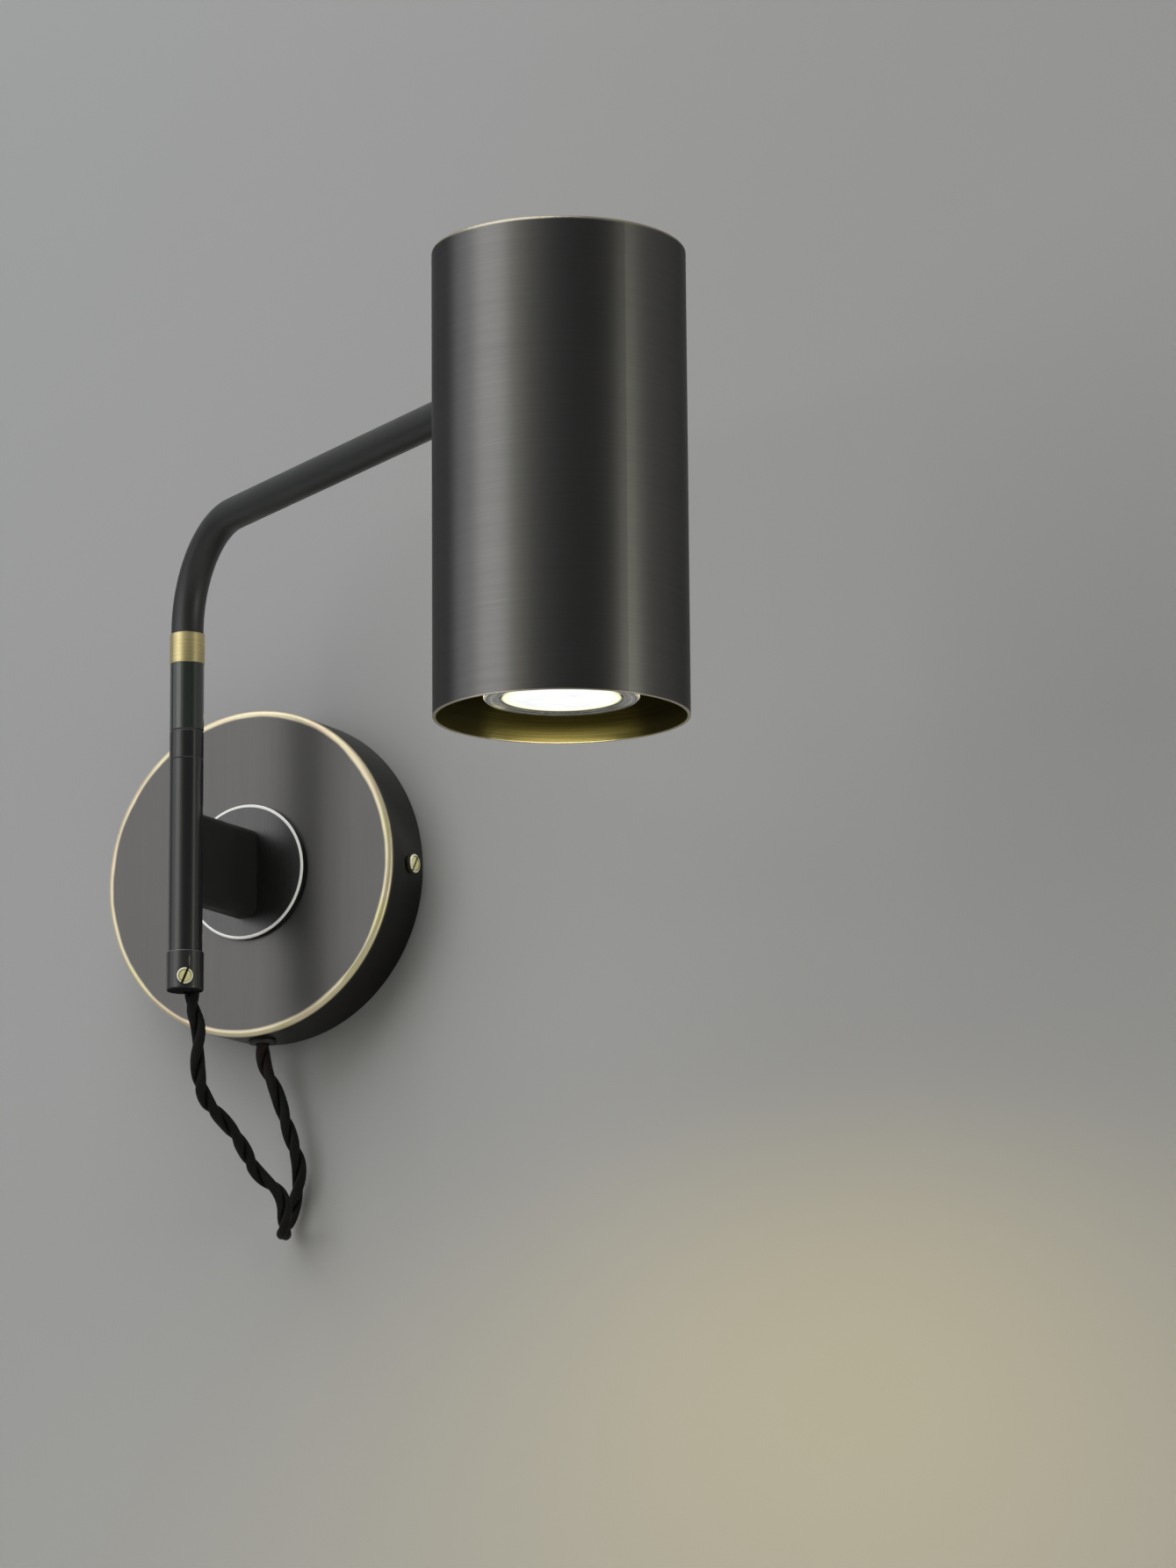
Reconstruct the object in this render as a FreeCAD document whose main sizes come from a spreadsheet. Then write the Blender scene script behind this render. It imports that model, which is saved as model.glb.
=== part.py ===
import FreeCAD, Part
import Sketcher
import math
import os
from types import SimpleNamespace

# Wall lamp: a round wall canopy carries a flat bar and a vertical stem, a bent arm turns on the
# stem, and a tall cylindrical shade tilts on the end of the arm. Millimetres, +Z up, the wall is
# the plane y = 0 and the lamp stands out along -Y. The origin is the middle of the canopy's back.

SIZES = {
    # Canopy: a round shell, open to the wall
    "canopy_radius": 60.0,
    "canopy_depth": 23.0,
    "canopy_wall": 1.2,
    "canopy_edge_round": 1.6,
    "canopy_screw_depth": 8.2,
    "canopy_screw_head_radius": 3.4,
    "canopy_screw_head_height": 1.8,
    "canopy_screw_length": 7.0,
    # Wall bracket: a strap with two bent ears
    "bracket_half_length": 57.4,
    "bracket_width": 20.0,
    "bracket_wall": 1.5,
    "bracket_ear_depth": 13.0,
    "bracket_bend_radius": 2.5,
    "slot_spacing": 72.0,
    "slot_length": 12.0,
    "slot_radius": 2.3,
    "cable_hole_radius": 9.0,
    # Machine screws
    "screw_radius": 2.0,
    "small_screw_radius": 1.5,
    "screw_head_radius": 3.6,
    "screw_head_height": 2.4,
    "small_head_radius": 2.7,
    "small_head_height": 1.8,
    "driver_slot_width": 0.9,
    "driver_slot_share": 0.5,
    "screw_clearance": 0.25,
    # Earth screw in a pressed nut on the bracket
    "earth_screw_place": 18.0,
    "earth_nut_radius": 4.0,
    "earth_nut_height": 3.0,
    # Terminal block on the bracket
    "block_place": 19.5,
    "block_length": 17.0,
    "block_width": 16.0,
    "block_depth": 11.0,
    "block_edge_round": 1.0,
    "pole_spacing": 8.0,
    "pole_hole_radius": 1.7,
    "pole_screw_radius": 2.0,
    "pole_screw_drop": 1.5,
    "pole_screw_height": 2.5,
    "lead_tail": 5.0,
    # Boss, backing plate and the screws that hold the bar
    "boss_radius": 24.75,
    "boss_height": 2.5,
    "boss_edge": 0.4,
    "backing_radius": 17.0,
    "backing_wall": 2.0,
    "bar_screw_spacing": 17.0,
    "bar_screw_bite": 12.0,
    # Bar from the boss to the stem
    "bar_thickness": 11.0,
    "bar_height": 32.3,
    "bar_drop": 0.9,
    "bar_round": 3.6,
    # Stem
    "stem_offset": 65.0,
    "stem_radius": 6.1,
    "stem_wall": 1.3,
    "stem_drop": 35.6,
    "stem_edge": 0.25,
    "collar_height": 10.1,
    "spigot_length": 10.0,
    "swivel_washer_wall": 0.4,
    "swivel_washer_inset": 0.35,
    "sleeve_height": 24.4,
    # Swivel in the stem
    "spindle_radius": 3.9,
    "running_clearance": 0.05,
    "flex_clearance": 0.3,
    "spindle_head_height": 12.0,
    "spindle_washer_wall": 0.6,
    "spindle_washer_inset": 0.5,
    "spindle_nut_height": 4.0,
    "spindle_tail": 1.0,
    "nut_clearance": 0.3,
    "nut_slot_width": 1.6,
    # End cap
    "cap_radius": 6.65,
    "cap_height": 14.1,
    "cap_floor": 1.6,
    "cap_cavity_radius": 5.6,
    "cap_shoulder": 1.5,
    "cap_spigot_length": 8.0,
    "cap_spigot_wall": 0.8,
    "cap_round": 0.9,
    "cord_exit_offset": 2.6,
    "cord_exit_turn": 50.0,
    "cord_hole_clearance": 0.2,
    "cord_straight": 6.0,
    "grip_screw_rise": 4.6,
    "grip_screw_turn": 32.0,
    "grip_seat": 5.9,
    "grip_head_radius": 2.9,
    "grip_head_height": 1.5,
    "grip_screw_length": 3.8,
    # Cord
    "cord_radius": 2.7,
    "lead_radius": 1.3,
    "flex_joint_gap": 0.3,
    # Grommet in the canopy's underside
    "grommet_depth": 12.0,
    "grommet_neck_radius": 3.9,
    "grommet_flange_radius": 5.0,
    "grommet_flange_height": 1.3,
    "grommet_neck_length": 1.6,
    "grommet_seat_clearance": 0.1,
    "grommet_round": 0.5,
    # Ferrule and joiner
    "ferrule_height": 11.0,
    "ferrule_wall": 0.45,
    "ferrule_edge": 0.15,
    "joiner_depth": 10.0,
    "joiner_bend_gap": 2.0,
    "joiner_clearance": 0.05,
    # Arm
    "arm_turn": 31.0,
    "arm_radius": 5.8,
    "arm_wall": 1.0,
    "arm_rise": 117.0,
    "joint_height": 117.0,
    "bend_radius": 36.0,
    "arm_straight": 12.0,
    "reach": 262.0,
    "socket_radius": 7.0,
    "socket_length": 16.0,
    "socket_depth": 8.0,
    "socket_edge": 0.5,
    # Tilt joint
    "tilt_washer_wall": 0.6,
    "tilt_washer_inset": 0.4,
    "shade_collar_height": 4.0,
    "tilt_spindle_radius": 5.0,
    "spindle_start_gap": 0.3,
    "groove_inset": 4.0,
    "groove_width": 3.2,
    "groove_depth": 1.3,
    "groove_clearance": 0.3,
    "groove_sweep": 224.0,
    "tilt_stop_radius": 1.3,
    "lock_nut_flats": 13.5,
    "lock_nut_height": 3.5,
    "bracket_washer_radius": 7.2,
    "bracket_washer_wall": 1.0,
    "thread_tail": 1.5,
    # Shade
    "shade_radius": 41.0,
    "shade_height": 153.3,
    "shade_wall": 1.0,
    "shade_top_wall": 1.2,
    "shade_top_round": 1.2,
    "shade_hole_clearance": 0.2,
    # Lamp bracket and lampholder
    "lamp_bracket_width": 14.0,
    "lamp_bracket_wall": 1.5,
    "lamp_bracket_rise": 9.0,
    "lamp_bracket_bend": 3.0,
    "bracket_wall_gap": 0.05,
    "foot_past_axis": 12.0,
    "holder_radius": 13.0,
    "holder_height": 24.0,
    "holder_edge": 1.2,
    "holder_flat": 9.5,
    "holder_screw_spacing": 16.0,
    "holder_screw_bite": 7.0,
    "holder_lead_depth": 4.0,
    "key_slot_run": 3.0,
    "key_slot_radius": 1.9,
    "key_slot_depth": 9.0,
    "foot_hole_clearance": 0.5,
    # Lamp
    "lamp_face": 5.6,
    "lamp_radius": 24.8,
    "lamp_height": 46.5,
    "lamp_rim_height": 3.2,
    "lamp_neck_radius": 11.0,
    "lamp_neck_height": 17.0,
    "lamp_shoulder_radius": 14.0,
    "lamp_cup_radius": 23.6,
    "lamp_cup_height": 9.0,
    "lamp_ring_height": 1.4,
    "lens_radius": 19.0,
    "lens_recess": 0.4,
    "lamp_ring_bevel": 1.2,
    "pin_spacing": 10.0,
    "pin_radius": 1.1,
    "pin_head_radius": 1.7,
    "pin_length": 7.0,
    "pin_head_height": 2.0,
    "flex_corner": 16.0,
    # Every cut runs past the piece by this much
    "overrun": 2.0,
}

# Two places count as one when they are nearer than this
SAME = 0.001

# Share of the shorter run that a cord's arc takes up at a corner
ARC_SHARE = 0.45

# Where the two leads in the canopy turn: shares of their climb, and of their way to the side
LEAD_RISE_SHARES = (0.25, 0.6, 0.85)
LEAD_SIDE_SHARE = 0.55

# Route of the free cord, from the end cap's floor round the fold and up to the grommet
CORD_ROUTE = [
    (1.67, -63.01, -49.7),
    (1.67, -63.01, -55.2),
    (4.2, -61.7, -62.8),
    (2.3, -60.7, -75.9),
    (2.4, -55.6, -87.8),
    (4.1, -43.2, -94.2),
    (3.4, -31.0, -100.9),
    (4.1, -22.9, -110.2),
    (13.0, -17.2, -117.7),
    (11.9, -16.6, -131.3),
    (5.1, -4.8, -130.2),
    (9.4, -3.5, -117.5),
    (12.0, -5.1, -106.4),
    (10.1, -7.0, -98.4),
    (7.2, -9.0, -87.1),
    (4.1, -10.3, -76.5),
    (0.0, -12.0, -68.5),
    (0.0, -12.0, -61.4),
]


class Length:
    """A number worked out from the sheet, kept with the expression that gives it."""

    def __init__(self, value, text):
        self.value = value
        self.text = text

    def __add__(self, other):
        other = as_length(other)
        return Length(self.value + other.value, f"({self.text} + {other.text})")

    def __sub__(self, other):
        other = as_length(other)
        return Length(self.value - other.value, f"({self.text} - {other.text})")

    def __mul__(self, other):
        other = as_length(other)
        return Length(self.value * other.value, f"({self.text} * {other.text})")

    def __truediv__(self, other):
        other = as_length(other)
        return Length(self.value / other.value, f"({self.text} / {other.text})")

    def __neg__(self):
        if self.text == "0":
            return self
        return Length(-self.value, f"(-{self.text})")


def as_length(number):
    """Let plain zero and counts stand beside the sheet's lengths."""
    if isinstance(number, Length):
        return number
    return Length(float(number), str(number))


def make_sheet(doc, sizes):
    sheet = doc.addObject("Spreadsheet::Sheet", "Sizes")
    for row, (alias, number) in enumerate(sizes.items(), start=1):
        sheet.set(f"A{row}", alias.replace("_", " "))
        sheet.set(f"B{row}", str(number))
        sheet.setAlias(f"B{row}", alias)
    doc.recompute()
    return sheet


def side_of(flat, radius):
    """How far a flat lies from the axis when its corners reach the radius."""
    value = math.sqrt(radius.value ** 2 - flat.value ** 2)
    return Length(value, f"sqrt({radius.text} * {radius.text} - {flat.text} * {flat.text})")


def along(length, turn, part):
    """The part of a length along one axis, for a turn in degrees."""
    trig = {"cos": math.cos, "sin": math.sin}[part]
    value = length.value * trig(math.radians(turn.value))
    return Length(value, f"({length.text} * {part}({turn.text} * 1 deg))")


doc = FreeCAD.newDocument("WallLamp")
sheet = make_sheet(doc, SIZES)
s = SimpleNamespace(**{
    alias: Length(float(sheet.get(alias)), f"Sizes.{alias}") for alias in SIZES})
zero = as_length(0)
parts = {}

# Frames that the pieces are placed in, as expressions
WALL = "placement(vector(0; 0; 0); rotation(vector(0; 0; 1); 0))"
STEM = "placement(vector(0; -Sizes.stem_offset; 0); rotation(vector(0; 0; 1); 0))"
ARM = "placement(vector(0; -Sizes.stem_offset; 0); rotation(vector(0; 0; 1); -Sizes.arm_turn))"
AXES = {"x": "1; 0; 0", "y": "0; 1; 0", "z": "0; 0; 1"}


def place(item, frame, x, y, z, axis="z", turn=0):
    """Bind a placement to the sheet: a frame, then a move in it, then a turn."""
    move = f"vector({as_length(x).text}; {as_length(y).text}; {as_length(z).text})"
    rotation = f"rotation(vector({AXES[axis]}); {as_length(turn).text})"
    item.setExpression("Placement", f"{frame} * placement({move}; {rotation})")


def new_body(name):
    body = doc.addObject("PartDesign::Body", name)
    body.Label = name
    parts[name] = body
    return body


def new_sketch(body, role):
    """An empty sketch on one of the body's own origin planes."""
    sketch = body.newObject("Sketcher::SketchObject", f"{body.Label}_{role[:2]}_sketch")
    origin_plane = next(item for item in body.Origin.OriginFeatures if item.Role == role)
    sketch.AttachmentSupport = (origin_plane, [""])
    sketch.MapMode = "FlatFace"
    return sketch


def pin_point(sketch, item, end, u, v):
    """Hold a point of the sketch at (u, v), each bound to the sheet."""
    for kind, distance, axis in (("DistanceX", u, -2), ("DistanceY", v, -1)):
        distance = as_length(distance)
        if distance.text == "0":
            sketch.addConstraint(Sketcher.Constraint("PointOnObject", item, end, axis))
            continue
        if distance.value >= 0:
            ends = (-1, 1, item, end)
            bound = distance
        else:
            ends = (item, end, -1, 1)
            bound = -distance
        made = sketch.addConstraint(Sketcher.Constraint(kind, *ends, bound.value))
        sketch.setExpression(f"Constraints[{made}]", bound.text)


def draw_outline(sketch, points):
    """A closed outline of straight sides through the points."""
    corners = [(as_length(u), as_length(v)) for u, v in points]
    vectors = [FreeCAD.Vector(u.value, v.value, 0) for u, v in corners]
    first = sketch.GeometryCount
    count = len(vectors)
    for i in range(count):
        sketch.addGeometry(Part.LineSegment(vectors[i], vectors[(i + 1) % count]), False)
    for i in range(count):
        after = first + (i + 1) % count
        sketch.addConstraint(Sketcher.Constraint("Coincident", first + i, 2, after, 1))
    for i, (u, v) in enumerate(corners):
        pin_point(sketch, first + i, 1, u, v)


def draw_circle(sketch, u, v, radius):
    centre = FreeCAD.Vector(as_length(u).value, as_length(v).value, 0)
    circle = Part.Circle(centre, FreeCAD.Vector(0, 0, 1), radius.value)
    item = sketch.addGeometry(circle, False)
    pin_point(sketch, item, 3, u, v)
    made = sketch.addConstraint(Sketcher.Constraint("Radius", item, radius.value))
    sketch.setExpression(f"Constraints[{made}]", radius.text)


def draw_slot(sketch, u, v, half_run, radius, upright=False):
    """A round-ended slot, centred at (u, v), its arcs' centres half_run to each side."""
    u, v = as_length(u), as_length(v)
    step = (zero, half_run) if upright else (half_run, zero)
    lean = math.pi / 2 if upright else 0
    ends = [(u + step[0], v + step[1]), (u - step[0], v - step[1])]
    items = []
    for number, (centre_u, centre_v) in enumerate(ends):
        centre = FreeCAD.Vector(centre_u.value, centre_v.value, 0)
        start = lean - math.pi / 2 + number * math.pi
        ring = Part.Circle(centre, FreeCAD.Vector(0, 0, 1), radius.value)
        items.append(sketch.addGeometry(Part.ArcOfCircle(ring, start, start + math.pi), False))
    arcs = [sketch.Geometry[item] for item in items]
    for here, there in ((0, 1), (1, 0)):
        side = sketch.addGeometry(Part.LineSegment(arcs[here].EndPoint, arcs[there].StartPoint), False)
        sketch.addConstraint(Sketcher.Constraint("Tangent", items[here], 2, side, 1))
        sketch.addConstraint(Sketcher.Constraint("Tangent", items[there], 1, side, 2))
    for item, (centre_u, centre_v) in zip(items, ends):
        for_u = zero if upright and u.text == "0" else centre_u
        for_v = zero if not upright and v.text == "0" else centre_v
        pin_point(sketch, item, 3, for_u, for_v)
    made = sketch.addConstraint(Sketcher.Constraint("Radius", items[0], radius.value))
    sketch.setExpression(f"Constraints[{made}]", radius.text)


def pad(body, sketch, length, middle=False, backwards=False):
    feature = body.newObject("PartDesign::Pad", f"{sketch.Name}_pad")
    feature.Profile = sketch
    feature.setExpression("Length", length.text)
    feature.Midplane = middle
    feature.Reversed = backwards
    doc.recompute()
    return feature


def pocket(body, sketch, length, middle=False, backwards=False):
    """Cut a sketch into the body, and stop if the cut took nothing away."""
    before = body.Shape.Volume
    feature = body.newObject("PartDesign::Pocket", f"{sketch.Name}_pocket")
    feature.Profile = sketch
    feature.setExpression("Length", length.text)
    feature.Midplane = middle
    feature.Reversed = backwards
    doc.recompute()
    if body.Shape.Volume >= before:
        raise RuntimeError(f"{feature.Name} cuts nothing")
    return feature


def groove(body, sketch, sweep):
    """Cut a ring's arc, centred on the sketch's plane, round the sketch's upright axis."""
    before = body.Shape.Volume
    feature = body.newObject("PartDesign::Groove", f"{sketch.Name}_groove")
    feature.Profile = sketch
    feature.ReferenceAxis = (sketch, ["V_Axis"])
    feature.setExpression("Angle", sweep.text)
    feature.Midplane = True
    doc.recompute()
    if body.Shape.Volume >= before:
        raise RuntimeError(f"{feature.Name} cuts nothing")
    return feature


def turned(name, points):
    """A body turned about its own Z axis, from an outline of radius and height."""
    body = new_body(name)
    sketch = new_sketch(body, "XZ_Plane")
    draw_outline(sketch, points)
    feature = body.newObject("PartDesign::Revolution", f"{name}_turned")
    feature.Profile = sketch
    feature.ReferenceAxis = (sketch, ["V_Axis"])
    feature.Angle = 360
    doc.recompute()
    return body


def ring(name, bore, outside, height):
    """A plain tube or washer."""
    return turned(name, [(bore, zero), (outside, zero), (outside, height), (bore, height)])


def round_at(radius, height):
    """Chooses round edges of a radius at a height along the body's axis."""
    def chosen(edge):
        curve = edge.Curve
        if not isinstance(curve, Part.Circle):
            return False
        same_radius = abs(curve.Radius - radius.value) < SAME
        same_height = abs(curve.Center.z - height.value) < SAME
        return same_radius and same_height
    return chosen


def edges_at(height):
    """Chooses the edges that lie level at a height, of whatever outline."""
    def chosen(edge):
        return all(abs(vertex.Point.z - height.value) < SAME for vertex in edge.Vertexes)
    return chosen


def edges_along(axis, **places):
    """Chooses the straight edges along an axis, at these places either side of the origin."""
    def chosen(edge):
        if not isinstance(edge.Curve, Part.Line):
            return False
        ends = [vertex.Point for vertex in edge.Vertexes]
        if abs(getattr(ends[0], axis) - getattr(ends[1], axis)) < SAME:
            return False
        return all(
            abs(abs(getattr(end, other)) - abs(where.value)) < SAME
            for end in ends for other, where in places.items())
    return chosen


def dress(body, kind, radius, chosen):
    """Round ("Fillet") or bevel ("Chamfer") the chosen edges of the body."""
    tip = body.Tip
    edges = [f"Edge{i}" for i, edge in enumerate(tip.Shape.Edges, start=1) if chosen(edge)]
    if not edges:
        raise RuntimeError(f"no edge to dress on {body.Label}")
    feature = body.newObject(f"PartDesign::{kind}", f"{body.Label}_{kind}_{len(body.Group)}")
    feature.Base = (tip, edges)
    feature.setExpression("Radius" if kind == "Fillet" else "Size", radius.text)
    doc.recompute()
    return feature


def slotted_screw(name, shank, shank_length, head, head_height):
    """A cheese-head screw: the head stands on z = 0 upwards, the shank hangs below."""
    body = turned(name, [
        (zero, -shank_length), (shank, -shank_length), (shank, zero),
        (head, zero), (head, head_height), (zero, head_height),
    ])
    cut_driver_slot(body, head, head_height)
    return body


def cut_driver_slot(body, radius, top):
    """A slot for a screwdriver, down from the top of a screw."""
    sketch = new_sketch(body, "XY_Plane")
    draw_rectangle(sketch, radius, s.driver_slot_width)
    sketch.setExpression("AttachmentOffset.Base.z", top.text)
    pocket(body, sketch, top * s.driver_slot_share)


def draw_rectangle(sketch, half_length, width):
    """A rectangle about the origin."""
    half = width / 2
    draw_outline(sketch, [
        (-half_length, -half), (half_length, -half), (half_length, half), (-half_length, half)])


def joined(name, pieces):
    """One node that holds several like pieces, each its own solid."""
    group = doc.addObject("Part::Compound", name)
    group.Label = name
    group.Links = pieces
    for piece in pieces:
        parts.pop(piece.Label)
    parts[name] = group
    return group


# Canopy and bracket, in a frame whose Z points out of the wall
def on_wall(item, x=zero, depth=zero, height=zero):
    place(item, WALL, x, -depth, height, "x", as_length(90))


def make_canopy():
    inside = s.canopy_radius - s.canopy_wall
    floor = s.canopy_depth - s.canopy_wall
    body = turned("canopy_cover", [
        (zero, s.canopy_depth), (s.canopy_radius, s.canopy_depth), (s.canopy_radius, zero),
        (inside, zero), (inside, floor), (zero, floor),
    ])
    dress(body, "Fillet", s.canopy_edge_round, round_at(s.canopy_radius, s.canopy_depth))
    bar_holes = new_sketch(body, "XY_Plane")
    draw_bar_holes(bar_holes, s.screw_radius + s.screw_clearance)
    pocket(body, bar_holes, s.canopy_depth + s.overrun, backwards=True)
    side_holes = new_sketch(body, "YZ_Plane")
    draw_circle(side_holes, zero, s.canopy_screw_depth, s.screw_radius + s.screw_clearance)
    pocket(body, side_holes, (s.canopy_radius + s.overrun) * 2, middle=True)
    cord_hole = new_sketch(body, "XZ_Plane")
    draw_circle(cord_hole, zero, s.grommet_depth, s.grommet_neck_radius + s.grommet_seat_clearance)
    pocket(body, cord_hole, s.canopy_radius + s.overrun, backwards=True)
    on_wall(body)


def draw_bar_holes(sketch, radius):
    """The two holes for the bar's screws, about the canopy's axis."""
    half = s.bar_screw_spacing / 2
    for offset in (half - s.bar_drop, -half - s.bar_drop):
        draw_circle(sketch, zero, offset, radius)


def make_canopy_side_screws():
    screws = []
    for side, turn in (("right", 90), ("left", -90)):
        screw = slotted_screw(
            f"{side}_side_screw", s.screw_radius, s.canopy_screw_length,
            s.canopy_screw_head_radius, s.canopy_screw_head_height)
        x = s.canopy_radius if side == "right" else -s.canopy_radius
        place(screw, WALL, x, -s.canopy_screw_depth, zero, "y", as_length(turn))
        screws.append(screw)
    joined("canopy_side_screws", screws)


def make_bracket():
    body = new_body("wall_bracket")
    profile = new_sketch(body, "XY_Plane")
    end = s.bracket_half_length
    inner = end - s.bracket_wall
    ear = -s.bracket_ear_depth
    web = -s.bracket_wall
    draw_outline(profile, [
        (-end, zero), (end, zero), (end, ear), (inner, ear),
        (inner, web), (-inner, web), (-inner, ear), (-end, ear),
    ])
    pad(body, profile, s.bracket_width, middle=True)
    dress(body, "Fillet", s.bracket_bend_radius, edges_along("z", x=end, y=zero))
    dress(body, "Fillet", s.bracket_bend_radius - s.bracket_wall, edges_along("z", x=inner, y=web))
    nut = new_sketch(body, "XZ_Plane")
    draw_circle(nut, s.earth_screw_place, zero, s.earth_nut_radius)
    pad(body, nut, s.bracket_wall + s.earth_nut_height)
    through = s.bracket_wall + s.earth_nut_height + s.overrun
    holes = new_sketch(body, "XZ_Plane")
    for side in (s.slot_spacing / 2, -s.slot_spacing / 2):
        draw_slot(holes, side, zero, s.slot_length / 2 - s.slot_radius, s.slot_radius)
    draw_circle(holes, zero, zero, s.cable_hole_radius)
    draw_circle(holes, s.earth_screw_place, zero, s.screw_radius)
    draw_circle(holes, -s.block_place, zero, s.small_screw_radius)
    pocket(body, holes, through, backwards=True)
    ear_holes = new_sketch(body, "YZ_Plane")
    draw_circle(ear_holes, -s.canopy_screw_depth, zero, s.screw_radius)
    pocket(body, ear_holes, (end + s.overrun) * 2, middle=True)
    place(body, WALL, zero, zero, zero)


def make_earth_screw():
    seat = s.bracket_wall + s.earth_nut_height
    screw = slotted_screw(
        "bracket_earth_screw", s.screw_radius, seat - s.screw_clearance,
        s.screw_head_radius, s.screw_head_height)
    on_wall(screw, s.earth_screw_place, seat)


def make_terminal_block():
    body = new_body("terminal_block")
    profile = new_sketch(body, "XY_Plane")
    half_x, half_y = s.block_length / 2, s.block_width / 2
    draw_outline(profile, [
        (-half_x, -half_y), (half_x, -half_y), (half_x, half_y), (-half_x, half_y)])
    pad(body, profile, s.block_depth)
    dress(body, "Fillet", s.block_edge_round, edges_along("z", x=half_x, y=half_y))
    wire_holes = new_sketch(body, "XZ_Plane")
    for side in (s.pole_spacing / 2, -s.pole_spacing / 2):
        draw_circle(wire_holes, side, s.block_depth / 2, s.pole_hole_radius)
    pocket(body, wire_holes, s.block_width + s.overrun, middle=True)
    wells = new_sketch(body, "XY_Plane")
    wells.setExpression("AttachmentOffset.Base.z", s.block_depth.text)
    for x, y in pole_places():
        draw_circle(wells, x, y, s.pole_screw_radius)
    pocket(body, wells, s.pole_screw_drop + s.pole_screw_height)
    fixing = new_sketch(body, "XY_Plane")
    draw_circle(fixing, zero, zero, s.small_screw_radius)
    pocket(body, fixing, s.block_depth + s.overrun, backwards=True)
    on_wall(body, -s.block_place, s.bracket_wall)


def pole_places():
    """Places of the terminal screws on the block's face."""
    half = s.pole_spacing / 2
    return [(x, y) for x in (half, -half) for y in (half, -half)]


def make_terminal_screws():
    screws = []
    depth = s.bracket_wall + s.block_depth - s.pole_screw_drop - s.pole_screw_height
    for number, (x, y) in enumerate(pole_places(), start=1):
        screw = turned(f"terminal_screw_{number}", [
            (zero, zero), (s.pole_screw_radius, zero),
            (s.pole_screw_radius, s.pole_screw_height), (zero, s.pole_screw_height),
        ])
        cut_driver_slot(screw, s.pole_screw_radius, s.pole_screw_height)
        on_wall(screw, x - s.block_place, depth, y)
        screws.append(screw)
    joined("terminal_screws", screws)


def make_block_screw():
    screw = slotted_screw(
        "block_screw", s.small_screw_radius, s.block_depth + s.bracket_wall,
        s.small_head_radius, s.small_head_height)
    on_wall(screw, -s.block_place, s.bracket_wall + s.block_depth)


# Boss, backing plate, bar and the screws through them
def make_round_plate(name, radius, height, depth):
    body = turned(name, [(zero, zero), (radius, zero), (radius, height), (zero, height)])
    holes = new_sketch(body, "XY_Plane")
    draw_bar_holes(holes, s.screw_radius + s.screw_clearance)
    pocket(body, holes, height + s.overrun, backwards=True)
    on_wall(body, zero, depth)
    return body


def make_boss():
    boss = make_round_plate("boss_disc", s.boss_radius, s.boss_height, s.canopy_depth)
    dress(boss, "Chamfer", s.boss_edge, round_at(s.boss_radius, s.boss_height))
    make_round_plate("backing_plate", s.backing_radius, s.backing_wall, backing_depth)


def make_bar():
    body = new_body("stem_bar")
    profile = new_sketch(body, "XZ_Plane")
    half_x, half_z = s.bar_thickness / 2, s.bar_height / 2
    draw_outline(profile, [
        (-half_x, -half_z), (half_x, -half_z), (half_x, half_z), (-half_x, half_z)])
    length = s.stem_offset - boss_face
    pad(body, profile, length)
    dress(body, "Fillet", s.bar_round, edges_along("y", x=half_x, z=half_z))
    saddle = new_sketch(body, "XY_Plane")
    draw_circle(saddle, zero, -length, s.stem_radius)
    pocket(body, saddle, s.bar_height + s.overrun, middle=True)
    holes = new_sketch(body, "XZ_Plane")
    for side in (s.bar_screw_spacing / 2, -s.bar_screw_spacing / 2):
        draw_circle(holes, zero, side, s.screw_radius)
    pocket(body, holes, s.bar_screw_bite, backwards=True)
    place(body, WALL, zero, -boss_face, -s.bar_drop)


def make_bar_screws():
    screws = []
    length = boss_face - backing_depth + s.bar_screw_bite - s.screw_clearance
    for name, side in (("upper", s.bar_screw_spacing / 2), ("lower", -s.bar_screw_spacing / 2)):
        screw = slotted_screw(
            f"{name}_bar_screw", s.screw_radius, length, s.screw_head_radius, s.screw_head_height)
        place(screw, WALL, zero, -backing_depth, side - s.bar_drop, "x", as_length(-90))
        screws.append(screw)
    joined("bar_screws", screws)


# Stem, from the end cap up to the swivel's collar
def make_stem():
    stem = ring("lower_stem", stem_bore, s.stem_radius, s.stem_drop + stem_rise)
    dress(stem, "Chamfer", s.stem_edge, round_at(s.stem_radius, s.stem_drop + stem_rise))
    place(stem, STEM, zero, zero, -s.stem_drop)
    bore = s.spindle_radius + s.running_clearance
    top = s.spigot_length + s.collar_height
    collar = turned("swivel_collar", [
        (bore, zero), (stem_bore, zero), (stem_bore, s.spigot_length),
        (s.stem_radius, s.spigot_length), (s.stem_radius, top), (bore, top),
    ])
    dress(collar, "Chamfer", s.stem_edge, round_at(s.stem_radius, s.spigot_length))
    dress(collar, "Chamfer", s.stem_edge, round_at(s.stem_radius, top))
    place(collar, STEM, zero, zero, spigot_bottom)


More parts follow.
